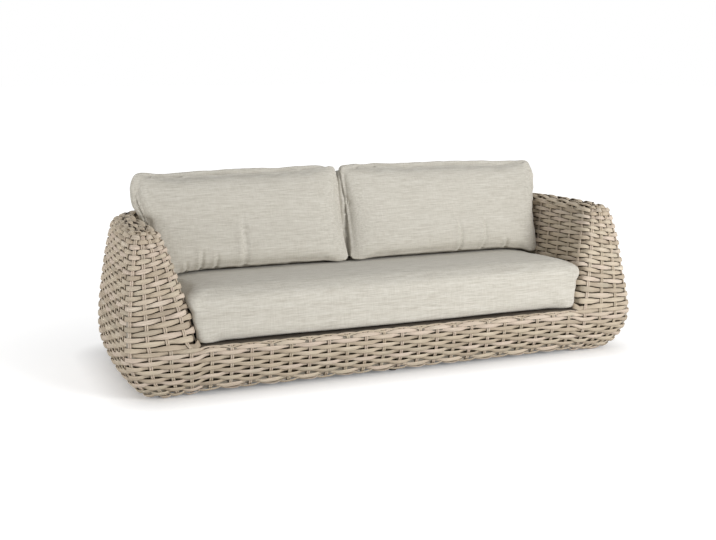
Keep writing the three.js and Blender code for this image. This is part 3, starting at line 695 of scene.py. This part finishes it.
for row in range(ROWS_UP):
    level, tone = row * LEVELS + LEVELS // 2, tones.random()
    right, left = hidden_stake(SIDE_JOINT, row), hidden_stake(LEFT_CORNER - SIDE_JOINT - 1, row)
    bay_left = hidden_stake(BAND_FIRST + BAY_JOINT, row)
    bay_right = hidden_stake(BAY_LAST - BAY_JOINT - 1, row)
    for panel, first, last in (("back", right, left),
                               ("left_arm", left, bay_left),
                               ("bay_back", bay_left, bay_right),
                               ("right_arm", bay_right, UPPER_TOTAL + right)):
        paths[panel]["row"].append(run(UP, UP_OUT, level, first, last, row, tone))
for row in range(ROWS_DOWN):
    level, tone = row * LEVELS + LEVELS // 2, tones.random()
    parity = row + 1
    right, left = hidden_stake(SIDE_JOINT, parity), hidden_stake(LEFT_CORNER - SIDE_JOINT - 1, parity)
    start, end = hidden_stake(BAND_FIRST, parity), hidden_stake(BAND_LAST, parity)
    twist = ROPE_TWIST * smooth((row - ROWS_DOWN + ROPE_ROWS + 1) / ROPE_ROWS)
    for panel, first, last in (("back_base", right, left),
                               ("left_arm", left, start),
                               ("front_band", start, end),
                               ("right_arm", end, LOWER_TOTAL + right)):
        if row == 0 and panel == "front_band":
            continue
        laid = run(DOWN, DOWN_OUT, level, first, last, parity, tone)
        ring = np.arange(first * STEPS, last * STEPS + 1) % DOWN.shape[1]
        sway = (twist * np.sin(math.pi * laid["weave"]))[:, None]
        laid["points"] = laid["points"] + DOWN_UP[level, ring] * sway
        paths[panel]["row"].append(laid)


def stake_lines(upper, lower):
    """Points, outward and sideways directions up one stake."""
    parts = []
    if lower is not None:
        column = int(lower * STEPS)
        parts.append([grid[::-1, column] for grid in (DOWN, DOWN_OUT, DOWN_ALONG)])
    if upper is not None:
        column, first = int(upper * STEPS), 0 if lower is None else 1
        parts.append([grid[first:, column] for grid in (UP, UP_OUT, UP_ALONG)])
    return [np.concatenate(group)[::2] for group in zip(*parts)]


def add_stake(panel, upper, lower):
    points, outward, sideways = stake_lines(upper, lower)
    tone = tones.random()
    for side in (-1, 1):
        paths[panel]["stake"].append({
            "points": points + sideways * side * STAKE_PITCH / 2, "outward": outward,
            "weave": 0.5, "strand": 0.45 + 0.5 * tone})


for stake in range(UPPER_TOTAL):
    if stake < BAND_START:
        lower = stake
    elif stake > BAY_END:
        lower = stake - UPPER_TOTAL + LOWER_TOTAL
    else:
        lower = None
    if SIDE_JOINT < stake < LEFT_CORNER - SIDE_JOINT:
        panel = "back_base"
    elif BAND_START + BAY_JOINT < stake < BAY_END - BAY_JOINT:
        panel = "bay_back"
    else:
        panel = "left_arm" if LEFT_CORNER - SIDE_JOINT <= stake <= BAND_START + BAY_JOINT else "right_arm"
    add_stake(panel, stake, lower)
for stake in range(BAND_FIRST + 1, BAND_LAST + 1):
    add_stake("front_band", None, stake)


def rim_arches():
    """The border along the front rim, in place of the band's first row: a pair of thin strands
    arches over every stake, low enough for the seat cushion to slide over it."""
    arches = []
    for stake in range(BAND_FIRST + 1, BAND_FIRST + 1 + BAND_SPANS):
        tone = tones.random()
        pick = np.arange((stake - 1) * STEPS, (stake + 1) * STEPS + 1)
        rise = np.sin(np.linspace(0, math.pi, len(pick))) ** ARCH_POWER
        depth = mix(ARCH_FOOT_DEPTH, ARCH_TOP_DEPTH, rise)[:, None]
        for twin in (0.0, ARCH_TWIN):
            level = mix(ARCH_FOOT, ARCH_TOP, rise) + twin
            low = level.astype(int)
            share = (level - low)[:, None]
            out = mix(DOWN_OUT[low, pick], DOWN_OUT[low + 1, pick], share)
            line = mix(DOWN[low, pick], DOWN[low + 1, pick], share)
            arches.append({"points": line - out * depth, "outward": out, "weave": 0.5, "strand": tone})
    return arches


def ridge(first, last):
    """The strand that closes the top between the rows of the two sides."""
    pick = np.arange(round(first * STEPS), round(last * STEPS) + 1)
    ring = pick % UP.shape[1]
    inward = -UP_OUT[-LEVELS * 3, ring] * [1, 1, 0]
    stake = np.minimum(pick / STEPS % UPPER_TOTAL, LEFT_CORNER - pick / STEPS % UPPER_TOTAL)
    half_slit = mix(ARM_SLIT, BACK_SLIT, smooth((stake - SIDE_SPANS + SLIT_BLEND) / SLIT_BLEND))[:, None]
    return {"points": UP[-1, ring] + unit(inward) * half_slit + [0, 0, RIDGE_RISE], "strand": 0.35,
            "outward": np.broadcast_to([0.0, 0.0, 1.0], (len(pick), 3)), "weave": pick / STEPS + 1}


for panel, first, last in (("right_arm", 0.5, SIDE_JOINT), ("back", SIDE_JOINT, LEFT_CORNER - SIDE_JOINT),
                           ("left_arm", LEFT_CORNER - SIDE_JOINT, LEFT_CORNER - 0.5)):
    paths[panel]["row"].append(ridge(first, last))


def shade_sheet(name, sheets):
    """A thin near-black skin behind the strands, painted shade for the gaps between them; each sheet is a
    grid, its outward directions and its first and last column."""
    shell = bmesh.new()
    for grid, out, first, last in sheets:
        columns = np.append(np.arange(first, last, SHADE_SHEET_STEP), last) % grid.shape[1]
        layers = []
        for depth in (SHADE_SHEET_DEPTH, SHADE_SHEET_DEPTH + SHADE_SHEET_THICK):
            spots = (grid - out * depth)[::SHADE_SHEET_STEP, columns]
            layers.append([[shell.verts.new(spot) for spot in level] for level in spots])
        front, back = layers
        tall, wide = len(front), len(front[0])
        for i in range(tall - 1):
            for j in range(wide - 1):
                shell.faces.new((front[i][j], front[i][j + 1], front[i + 1][j + 1], front[i + 1][j]))
                shell.faces.new((back[i][j], back[i + 1][j], back[i + 1][j + 1], back[i][j + 1]))
        edge = [(i, 0) for i in range(tall)] + [(tall - 1, j) for j in range(1, wide)]
        edge += [(i, wide - 1) for i in range(tall - 2, -1, -1)] + [(0, j) for j in range(wide - 2, 0, -1)]
        for (i, j), (next_i, next_j) in zip(edge, edge[1:] + edge[:1]):
            shell.faces.new((front[i][j], front[next_i][next_j], back[next_i][next_j], back[i][j]))
    bmesh.ops.recalc_face_normals(shell, faces=shell.faces)
    mesh = bpy.data.meshes.new(name)
    shell.to_mesh(mesh)
    shell.free()
    mesh.materials.append(SHADE_SHEET)
    return new_object(name, mesh)


LEFT_JOINT = LEFT_CORNER - SIDE_JOINT
BAY_LEFT, BAY_RIGHT = BAND_FIRST + BAY_JOINT, BAY_LAST - BAY_JOINT
RIM, RIM_OUT = DOWN[:RIM_SHADE_SHEET_LEVELS], DOWN_OUT[:RIM_SHADE_SHEET_LEVELS]
BACKS = {
    "left_arm": [(UP, UP_OUT, LEFT_JOINT, BAY_LEFT), (DOWN, DOWN_OUT, LEFT_JOINT, BAND_FIRST)],
    "right_arm": [(UP, UP_OUT, BAY_RIGHT, UPPER_TOTAL + SIDE_JOINT),
                  (DOWN, DOWN_OUT, BAND_LAST, LOWER_TOTAL + SIDE_JOINT)],
    "back": [(UP, UP_OUT, SIDE_JOINT, LEFT_JOINT)],
    "back_base": [(DOWN, DOWN_OUT, SIDE_JOINT, LEFT_JOINT)],
    "bay_back": [(UP, UP_OUT, BAY_LEFT, BAY_RIGHT)],
    # Behind the band, and brought forward close behind the rim's arches: painted shade
    "front_band": [(DOWN, DOWN_OUT, BAND_FIRST, BAND_LAST),
                   (RIM + RIM_OUT * RIM_SHADE_SHEET_SHIFT, RIM_OUT, BAND_FIRST, BAND_LAST)]}

woven = {}
for panel in PANELS:
    parts = [grown(path_object(f"{panel}_{kind}s", paths[panel][kind]), STRANDS, settings)
             for kind, settings in (("row", ROW), ("stake", STAKE)) if paths[panel][kind]]
    sheets = [(grid, out, first * STEPS, last * STEPS) for grid, out, first, last in BACKS[panel]]
    # Each panel gets a dark backing sheet, painted shade behind its strands
    parts.append(shade_sheet(f"{panel}_lining", sheets))
    if panel == "front_band":
        parts.append(grown(path_object("rim_arches", rim_arches()), STRANDS, BORDER))
    woven[panel] = joined(f"woven_{panel}", parts)

for panel, piece in woven.items():
    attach(piece, "frame")
    if f"wicker_{panel}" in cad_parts:
        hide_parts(f"wicker_{panel}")

# The frame, the deck and the glides keep their solids and get their finish; the deck's is a weave of
# painted shade
for name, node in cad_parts.items():
    if node.hide_render or name.endswith("cushion") or name.startswith("back_cushion"):
        continue
    finish = NYLON if name.startswith("glide") else SHADED_DECK_WEAVE if name == "wicker_seat_deck" else POWDER
    node.data.materials.clear()
    node.data.materials.append(finish)

# Cushions: each starts from its solid, drawn in, and is blown up as cloth
FOOT, PLACE, LEAN, TALL = 0.4203, -0.0099, math.radians(17.5), 0.396
BACK_AXIS = (0, math.cos(LEAN), -math.sin(LEAN))
SWELL_STEPS, PRESSURE = 10, 4.0


def places(mesh):
    values = np.empty(len(mesh.vertices) * 3)
    mesh.vertices.foreach_get("co", values)
    return values.reshape(-1, 3)


def normals(mesh):
    values = np.empty(len(mesh.vertices) * 3)
    mesh.vertex_normals.foreach_get("vector", values)
    return values.reshape(-1, 3)


def put(mesh, points):
    mesh.vertices.foreach_set("co", np.ascontiguousarray(points, dtype=np.float64).ravel())
    mesh.update()


def evened(mesh, points, rounds):
    """Points moved to the mean of their neighbours, a few times over."""
    ends = np.empty(len(mesh.edges) * 2, dtype=np.int64)
    mesh.edges.foreach_get("vertices", ends)
    first, second = ends.reshape(-1, 2).T
    count = np.bincount(ends, minlength=len(points))[:, None]
    for _ in range(rounds):
        total = np.zeros_like(points)
        for axis, values in enumerate(points.T):
            total[:, axis] = np.bincount(first, values[second], len(points))
            total[:, axis] += np.bincount(second, values[first], len(points))
        points = mix(points, total / count, 0.5)
    return points


def blown(name, node, voxel, axis, reach, thinner, cap):
    """A cushion filled like a bag. It starts thinner and wider than its solid, swells by up to the
    cap, and is then held within the solid and the given reach round it."""
    mesh = node.data.copy()
    mesh.materials.clear()
    clean = bmesh.new()
    clean.from_mesh(mesh)
    bmesh.ops.remove_doubles(clean, verts=clean.verts, dist=1e-6)
    clean.to_mesh(mesh)
    solid = BVHTree.FromBMesh(clean)
    clean.free()
    made = new_object(name, mesh)
    grid = made.modifiers.new("even", "REMESH")
    grid.mode, grid.voxel_size = "VOXEL", voxel
    mesh = settled(made).data
    put(mesh, evened(mesh, places(mesh), 4))
    normal = normals(mesh)
    facing = np.abs(normal @ np.array(axis))[:, None]
    start = places(mesh) + normal * mix(thinner * 0.4, -thinner, smooth(facing))
    put(mesh, start)
    cloth = made.modifiers.new("cloth", "CLOTH")
    cloth.settings.quality = 4
    cloth.settings.use_pressure = True
    cloth.settings.uniform_pressure_force = PRESSURE
    cloth.settings.effector_weights.gravity = 0.0
    cloth.point_cache.frame_start, cloth.point_cache.frame_end = 1, SWELL_STEPS
    for step in range(1, SWELL_STEPS + 1):
        scene.frame_set(step)
    settled(made)
    scene.frame_set(1)
    mesh = made.data
    move = places(mesh) - start
    far = np.linalg.norm(move, axis=1, keepdims=True)
    move *= cap * np.tanh(far / cap) / np.maximum(far, 1e-9)
    put(mesh, start + evened(mesh, move, 3))
    put(mesh, held(places(mesh), solid, reach))
    return made


def held(points, solid, reach):
    """Points further out than their reach past the solid, brought back to it."""
    limits = reach(points)
    for i, point in enumerate(points):
        spot, normal, _, gap = solid.find_nearest(point)
        outside = gap if (Vector(point) - spot).dot(normal) > 0 else -gap
        if outside > limits[i]:
            points[i] -= np.array(normal) * (outside - limits[i])
    return points


def own_frame(points):
    """Across, up the back and through the thickness of a back cushion."""
    depth, up = np.zeros(len(points)), points[:, 2] - FOOT
    for _ in range(12):
        tilt = LEAN * np.clip(up / TALL, 0, 1)
        depth = (points[:, 1] - PLACE - up * math.tan(LEAN)) / np.cos(tilt)
        up = points[:, 2] - FOOT + depth * np.sin(tilt)
    return points[:, 0], up, depth


def seat_reach(points):
    """The seat cushion swells a little on its front and its free top, and not below or behind."""
    front = short_of(points[:, 1], -0.05, 0.15)
    above = past(points[:, 2], 0.22, 0.05)
    return 0.005 * front * above


def back_reach(points):
    """A back cushion swells forward and upward, and less beside the arm, the seat and its neighbour."""
    across, up, depth = own_frame(points)
    front = short_of(depth, 0.11, 0.08) * past(up, 0.015, 0.06)
    top = past(up, 0.30, 0.08)
    return 0.0125 * front + 0.006 * top * (1 - front)


SEAT_FILLING = {"voxel": 0.011, "axis": (0, 0, 1), "reach": seat_reach, "thinner": 0.004, "cap": 0.008}
BACK_FILLING = {"voxel": 0.008, "axis": BACK_AXIS, "reach": back_reach, "thinner": 0.009, "cap": 0.026}

# The seat cushion: its underside, how far its front comes forward and its rear dips, the radius of
# its front corners, its room beside the arms, and how much its lower edges are turned in
SEAT_FOOT, SEAT_FORWARD, SEAT_DIP = 0.2056, 0.028, 0.012
SEAT_CORNER, SEAT_ROOM, CORNER_POWER = 0.078, 0.008, 5
TURN_IN, TURN_HEIGHT = 0.010, 0.005
# Its ends follow the arms up to END_TOP, and its front is upright below FRONT_TOP
END_TOP, FRONT_TOP, SEAT_LEVELS = 0.37, 0.26, 26
# Its front corners stand out beside the arms' rounded front edges, evened by these shifts
CORNER_JUT = 0.030
EDGE_LEVELS = (0.225, 0.25, 0.275, 0.31, 0.34, 0.375, 0.41)
EDGE_SHIFTS = (0.0, 0.006, 0.013, 0.012, 0.003, -0.010, 0.0)
# How near to a level or a seam a point counts as lying on it
LEVEL_ROOM, SEAM_ROOM = 0.007, 0.006


def furthest(values, height, levels, chosen):
    """How far the chosen points reach at each level."""
    return np.array([values[chosen & (np.abs(height - z) < LEVEL_ROOM)].max() for z in levels])


def squared(across, ahead, power):
    """How many times further out a point of a round corner lies once the corner is squarer."""
    far = np.maximum(np.hypot(across, ahead), 1e-9)
    total = (across / far) ** power + (ahead / far) ** power
    return 1 + (np.maximum(total, 2 ** (1 - power / 2)) ** (-1 / power) - 1) * smooth(far)


def filled_out(made):
    """The seat cushion fills the bay: its ends lean into the arms, its front comes forward over the
    rim, its lower edges and front corners are squared, and its rear dips under the back cushions."""
    mesh = made.data
    points = places(mesh)
    side, fore, height = np.abs(points[:, 0]), -points[:, 1], points[:, 2]
    out = np.sign(points[:, 0])
    levels = np.linspace(height.min() + 0.003, height.max() - 0.006, SEAT_LEVELS)
    ends = furthest(side, height, levels, (fore > 0.05) & (fore < 0.30))
    front = furthest(fore, height, levels, side < 0.6)
    turned = TURN_IN * np.exp((SEAT_FOOT - levels) / TURN_HEIGHT)
    wall = np.array([inner_side(z) for z in levels]) - SEAT_ROOM - turned
    spread = (wall - ends)[np.minimum(np.arange(SEAT_LEVELS), np.searchsorted(levels, END_TOP))]
    ahead = np.where(levels < FRONT_TOP, front.max() - turned - front, 0.0)
    points[:, 0] += out * np.interp(height, levels, spread) * past(side, 0.62, 0.20)
    points[:, 1] -= np.interp(height, levels, ahead) * past(fore, 0.28, 0.09)
    half = np.interp(height, levels, ends + spread) - SEAT_CORNER
    depth = np.interp(height, levels, front + ahead) - SEAT_CORNER
    endward = np.clip((np.abs(points[:, 0]) - half) / SEAT_CORNER, 0, None)
    onward = np.clip((-points[:, 1] - depth) / SEAT_CORNER, 0, None)
    grown_by = (squared(endward, onward, CORNER_POWER) - 1) * short_of(height, 0.42, 0.04)
    jut = CORNER_JUT * past(fore, 0.370, 0.035) * past(height, 0.225, 0.05)
    jut *= short_of(height, 0.41, 0.05) * smooth(endward)
    points[:, 0] += out * (endward * grown_by * SEAT_CORNER + jut)
    points[:, 1] -= onward * grown_by * SEAT_CORNER
    edge = smooth((np.abs(points[:, 0]) - half) / SEAT_CORNER * 2.5 - 1)
    edge *= past(-points[:, 1], 0.34, 0.05)
    points[:, 0] += out * edge * np.interp(height, EDGE_LEVELS, EDGE_SHIFTS)
    points[:, 2] -= SEAT_DIP * short_of(fore, 0.30, 0.30) * past(height, 0.26, 0.12)
    points[:, 1] -= SEAT_FORWARD * past(fore, -0.10, 0.45)
    put(mesh, points)


def subdivided(made):
    finer = made.modifiers.new("finer", "SUBSURF")
    finer.levels = finer.render_levels = 1
    return settled(made)


# Seams of the back cushions, measured from the front: where they lie at the ends and along the top,
# how far the cover is drawn in to them, and the narrow line, gathers and welted lip along them
SEAM_END_DEPTH, SEAM_TOP_DEPTH = 0.024, 0.052
SEAM_DRAW, DRAW_FRONT, DRAW_REAR = 0.014, 0.020, 0.009
LINE_DRAW, LINE_WIDTH = 0.010, 0.0055
GATHER_DRAW, GATHER_WIDTH, GATHER_TURNS = 0.0018, 0.024, 26
LIP_RISE, LIP_PLACE, LIP_WIDTH = 0.008, 0.032, 0.020
FACE_WAVE = 0.0022
SEAM_POINTS, SEAM_ROUNDS = 420, 10


def ripple(values, seed, octaves):
    """A smooth wandering line, about -1 to 1, one turn for each unit."""
    dice = np.random.default_rng(seed)
    total = np.zeros_like(values)
    for octave in range(octaves):
        for _ in range(4):
            pace = 2 ** octave * dice.uniform(0.6, 1.5)
            total += np.sin(math.tau * (values * pace + dice.random())) / 2 ** octave / 4
    return total * 1.3


def seam_depth(across, up):
    """The seam lies near the front at the ends and further back along the top."""
    side = np.abs(across)
    inside = short_of(side, 0.93, 0.07) * past(side, 0.03, 0.05)
    return mix(SEAM_END_DEPTH, SEAM_TOP_DEPTH, inside * past(up - TALL, -0.07, 0.05))


def seam_ring(made):
    """Points round the cushion where its front and rear panels meet, as far out as it reaches."""
    mesh = made.data
    points = places(mesh)
    across, up, depth = own_frame(points)
    rim = np.abs(normals(mesh) @ np.array(BACK_AXIS)) < 0.8
    near = (np.abs(depth - seam_depth(across, up)) < SEAM_ROOM) & rim
    middle = np.array([(across.max() + across.min()) / 2, TALL / 2])
    flat = np.stack([across[near], up[near]], 1) - middle
    width, tall = np.ptp(flat[:, 0]) / 2, np.ptp(flat[:, 1]) / 2
    turn = np.arctan2(flat[:, 1] / tall, flat[:, 0] / width)
    order = np.argsort(turn)
    turn, ring = turn[order], points[near][order]
    wanted = np.linspace(-math.pi, math.pi, 4 * SEAM_POINTS, endpoint=False)
    line = sampled(wanted, turn, ring, math.tau)
    for _ in range(SEAM_ROUNDS):
        line = (np.roll(line, 1, 0) + 2 * line + np.roll(line, -1, 0)) / 4
    closed = np.vstack([line, line[:1]])
    reach = measured(closed)
    return sampled(np.linspace(0, reach[-1], SEAM_POINTS, endpoint=False), reach, closed)


def tailored(made, creases, seed):
    """The seam drawn in round a back cushion, its gathers, and the creases near its foot."""
    mesh = made.data
    points, normal = places(mesh), normals(mesh)
    across, up, depth = own_frame(points)
    middle = (across.max() + across.min()) / 2
    rim = short_of(np.abs(normal @ np.array(BACK_AXIS)), 0.95, 0.40)
    turn = np.arctan2((up - TALL / 2) * 2.4, across - middle) / math.tau
    gather = ripple(turn * GATHER_TURNS, seed, 2)
    gap = depth - seam_depth(across, up) - 0.003 * ripple(turn * 12, seed + 1, 2)
    free = past(np.abs(across), 0.10, 0.05) * np.maximum(
        past(points[:, 2] - HEIGHT, 0.010, 0.030), past(up - TALL, -0.05, 0.03))
    sunk = LINE_DRAW * np.exp(-(gap / LINE_WIDTH) ** 2)
    sunk += GATHER_DRAW * gather * np.exp(-np.abs(gap) / GATHER_WIDTH)
    sunk += SEAM_DRAW * np.where(gap < 0, np.exp(gap / DRAW_FRONT), np.exp(-(gap / DRAW_REAR) ** 2))
    sunk -= LIP_RISE * free * np.exp(-((gap - LIP_PLACE) / LIP_WIDTH) ** 2)
    inward = sunk * rim
    slow = ripple(across * 2.6 + up * 1.1, seed + 2, 1) * ripple(up * 2.2 - across * 0.7, seed + 3, 1)
    face = short_of(depth, 0.040, 0.05)
    inward += FACE_WAVE * slow * face
    for place, lean, reach, deep, width in creases:
        away = (across - place - lean * up) / width
        fade = short_of(up, reach, reach * 0.55) * face
        inward += deep * fade * (np.exp(-away ** 2) - 0.55 * np.exp(-((away + 1.9) / 1.3) ** 2))
    put(mesh, points - normal * inward[:, None])


PIPING = {"Width": 0.0078, "Thickness": 0.0078, "Flatness": 1.0, "Backing": 1.0, "Lift": 0.0, "Depth": 0.0,
          "Slimming": 0.0, "Wander": 0.0012, "Sides": 10, "Finish": FABRIC}
PIPING_SINK, PIPING_SWAY = 0.004, 0.0022


def welt(name, ring, centre):
    """The piping laid in a seam."""
    along = unit(np.roll(ring, -1, 0) - np.roll(ring, 1, 0))
    out = unit(np.cross(along, -np.array(BACK_AXIS)))
    out *= np.sign(np.sum(out * (ring - centre), axis=1, keepdims=True))
    turns = np.arange(len(ring)) / len(ring)
    sway = np.array(BACK_AXIS) * ripple(turns * GATHER_TURNS, len(name), 2)[:, None] * PIPING_SWAY
    laid = {"points": ring + sway - out * (SEAM_DRAW + PIPING_SINK), "outward": out, "weave": 0.5,
            "strand": 0.5, "closed": True}
    return grown(path_object(name, [laid]), STRANDS, PIPING)


def seat_drop(made):
    """How far the seat's top falls away towards its ends, under the back cushions."""
    points = places(made.data)
    side, near = np.abs(points[:, 0]), np.abs(points[:, 1] + 0.055) < 0.035
    marks = np.linspace(0.50, 0.86, 19)
    tops = np.array([points[near & (np.abs(side - mark) < 0.014), 2].max() for mark in marks])
    return marks, np.clip(tops[0] - tops, 0.0, LARGEST_DROP)


# The back cushions: how far their ends spread beside and above the arms at each height, how far
# their outer top corners stand up, where their shared line lies left of the middle, and how far
# their belly comes forward, their top rolls back and the tops rise towards each other
LARGEST_DROP = 0.026
SPREAD_Z = (FOOT, 0.52, 0.60, 0.645, 0.69, 0.76, 0.83)
SPREAD = {"left": (0, 0.003, 0.011, 0.018, 0.026, 0.024, 0.020),
          "right": (0, 0.003, 0.009, 0.011, 0.010, 0.006, 0.004)}
CORNER_RISE = {"left": 0.012, "right": 0.006}
SHARED_FOOT, SHARED_TOP, NEAR_GAP = 0.056, 0.048, 0.0024
BELLY_FORWARD, TOP_BACK, TOP_RISE, TOP_LOWER = 0.030, 0.020, 0.015, 0.003
FOOT_ROOM = 0.001
# Sizes of the corners that are made squarer: the outer top one, the inner top one and the two below
OUTER_CORNER, INNER_CORNER, FOOT_CORNER, FACE_POWER = 0.070, 0.060, 0.050, 4


def cornered(points, side, up, sign):
    """The four corners of a back cushion's face made squarer than cloth alone leaves them."""
    middle, belly = np.abs(up - TALL / 2) < 0.1, np.abs(side - 0.47) < 0.2
    outer_top = side[(up > 0.24) & (up < 0.34)].max()
    outer_foot = side[(up > 0.05) & (up < 0.10)].max()
    inner, top, foot = side[middle].min(), up[belly].max(), up[belly].min()
    for out, edge, rise, level, size in ((1, outer_top, 1, top, OUTER_CORNER),
                                         (-1, inner, 1, top, INNER_CORNER),
                                         (1, outer_foot, -1, foot, FOOT_CORNER),
                                         (-1, inner, -1, foot, FOOT_CORNER)):
        endward = np.clip(1 + (side - edge) * out / size, 0, 1.5)
        upward = np.clip(1 + (up - level) * rise / size, 0, 1.5)
        grow = (squared(endward, upward, FACE_POWER) - 1) * size
        points[:, 0] += sign * out * endward * grow
        points[:, 2] += rise * upward * grow


def nudged(made, hand, drop):
    """The back cushions lean on each other: their shared line stands left of the middle, and their
    outer ends fill the bay and bulge above the arms. Their belly sinks forward onto the seat, their
    top rolls back and rises at both ends, and their foot follows the seat down to its end."""
    mesh = made.data
    points = places(mesh)
    across, up, depth = own_frame(points)
    side, share = np.abs(across), np.clip(up / TALL, 0, 1)
    sign = -1 if hand == "left" else 1
    lowest = points[:, 2].min()
    cornered(points, side, up, sign)
    points[:, 2] = np.maximum(points[:, 2], lowest)
    shared = -mix(SHARED_FOOT, SHARED_TOP, share) * smooth(1 - side / 0.62)
    pull = np.interp(points[:, 2], SPREAD_Z, SPREAD[hand]) * past(side, 0.72, 0.20)
    points[:, 0] += shared + sign * (pull - NEAR_GAP * smooth(1 - side / 0.08))
    fore = short_of(depth, 0.13, 0.12)
    rolled = TOP_BACK * past(share, 0.50, 0.50) - BELLY_FORWARD * short_of(share, 0.55, 0.50)
    rise = TOP_RISE * short_of(side, 0.34, 0.25)
    rise += CORNER_RISE[hand] * past(side, 0.80, 0.12) - TOP_LOWER
    points[:, 1] += fore * rolled
    points[:, 2] += rise * past(share, 0.62, 0.36)
    points[:, 2] -= (SEAT_DIP - FOOT_ROOM) * short_of(share, 0.40, 0.35)
    points[:, 2] -= np.interp(side, *drop) * short_of(share, 0.20, 0.18)
    put(mesh, points)


# Creases near the back cushions' foot: place across, lean, height, depth and width
CREASES = {
    "left": [(-0.725, 0.02, 0.100, 0.0080, 0.0085), (-0.660, 0.05, 0.080, 0.0075, 0.0080),
             (-0.535, 0.04, 0.260, 0.0058, 0.0130), (-0.790, 0.00, 0.050, 0.0060, 0.0070)],
    "right": [(0.490, 0.03, 0.180, 0.0070, 0.0085), (0.612, 0.09, 0.170, 0.0068, 0.0095),
              (0.735, -0.10, 0.060, 0.0080, 0.0080)]}

seat = blown("seat_cushion_cover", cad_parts["seat_cushion"], **SEAT_FILLING)
filled_out(seat)
subdivided(seat)
cushions = {"seat_cushion": [seat]}
drop = seat_drop(seat)
for hand, seed in (("left", 21), ("right", 47)):
    node = f"back_cushion_{hand}"
    cover = blown(f"{node}_cover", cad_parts[node], **BACK_FILLING)
    nudged(cover, hand, drop)
    subdivided(cover)
    ring = seam_ring(cover)
    tailored(cover, CREASES[hand], seed)
    cushions[node] = [cover, welt(f"{node}_piping", ring, ring.mean(0))]
for node, pieces in cushions.items():
    cover = pieces[0]
    cover.data.materials.clear()
    cover.data.materials.append(FABRIC)
    cover.data.polygons.foreach_set("use_smooth", [True] * len(cover.data.polygons))
    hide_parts(node)
    for piece in pieces:
        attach(piece, node)

# Camera at the photograph's angle, as worked out from the sofa's corners
CAMERA_PLACE, CAMERA_LENS = (-1.8586, -4.4403, 1.2664), 55.307
LOOK_DOWN, LOOK_RIGHT = 10.597, 22.603
camera = new_object("camera", bpy.data.cameras.new("camera"))
camera.data.sensor_width = 36.0
camera.data.lens = CAMERA_LENS
camera.data.clip_end = 200.0
camera.location = CAMERA_PLACE
camera.rotation_euler = (math.radians(90 - LOOK_DOWN), 0.0, math.radians(-LOOK_RIGHT))
scene.camera = camera


# Studio: the floor glows white for the camera alone; the glow is less under and near the sofa, a painted
# shadow added to the cast one
FLOOR_GLOW_AND_SHADOW = [(0.02, grey(0.15)), (0.12, grey(0.52)), (0.90, grey(0.76))]
SHADE_HALF = (0.98, 0.36, 0.0)


def paint_floor(graph):
    seen = graph.add("ShaderNodeLightPath")["Is Camera Ray"]
    place = object_place(graph)
    cloud = graph.noise(place, 0.8, 2.0)
    past = graph.vector("SUBTRACT", graph.vector("ABSOLUTE", place), SHADE_HALF)
    past = graph.vector("MAXIMUM", past, (0.0, 0.0, 0.0))
    away = graph.vector("LENGTH", past)["Value"]
    return {
        "Base Color": graph.ramp(cloud, [(0.3, grey(0.86)), (0.7, grey(0.88))]),
        "Roughness": 0.9,
        "Specular IOR Level": 0.0,
        # Dimmer towards the sofa's footprint: painted shadow
        "Emission Color": graph.mixed(seen, grey(0), graph.ramp(away * 0.5, FLOOR_GLOW_AND_SHADOW)),
        "Emission Strength": 1.0,
    }


floor_mesh = bpy.data.meshes.new("floor")
floor_mesh.from_pydata([(-40, -40, 0), (40, -40, 0), (40, 60, 0), (-40, 60, 0)], [], [(0, 1, 2, 3)])
floor_mesh.materials.append(new_material("floor", paint_floor))
new_object("floor", floor_mesh)

world = bpy.data.worlds.new("studio")
world.use_nodes = True
world.node_tree.nodes.clear()
sky = Graph(world.node_tree)
ray = sky.add("ShaderNodeLightPath")
seen = ray.math("MAXIMUM", ray["Is Camera Ray"], ray["Is Glossy Ray"])
seen = seen.math("MAXIMUM", seen, ray["Is Transmission Ray"])
plain = sky.add("ShaderNodeBackground", {}, {"Color": grey(1.0), "Strength": 0.42})
bright = sky.add("ShaderNodeBackground", {}, {"Color": grey(1.0), "Strength": 1.0})
shown = sky.add("ShaderNodeMixShader", {}, {0: seen, 1: plain, 2: bright})
sky.add("ShaderNodeOutputWorld", {}, {"Surface": shown})
scene.world = world


def lamp(name, place, aim, size, power):
    light = bpy.data.lights.new(name, "AREA")
    light.shape, light.size, light.energy = "DISK", size, power
    made = new_object(name, light)
    made.location = place
    made.rotation_euler = (Vector(aim) - Vector(place)).to_track_quat("-Z", "Y").to_euler()


lamp("key", (2.2, -5.2, 2.2), (0.0, 0.0, 0.3), 2.4, 230.0)
lamp("fill", (-4.8, -0.6, 0.6), (-1.0, 0.0, 0.3), 1.4, 60.0)

scene.view_settings.view_transform = "Standard"

bpy.context.view_layer.update()
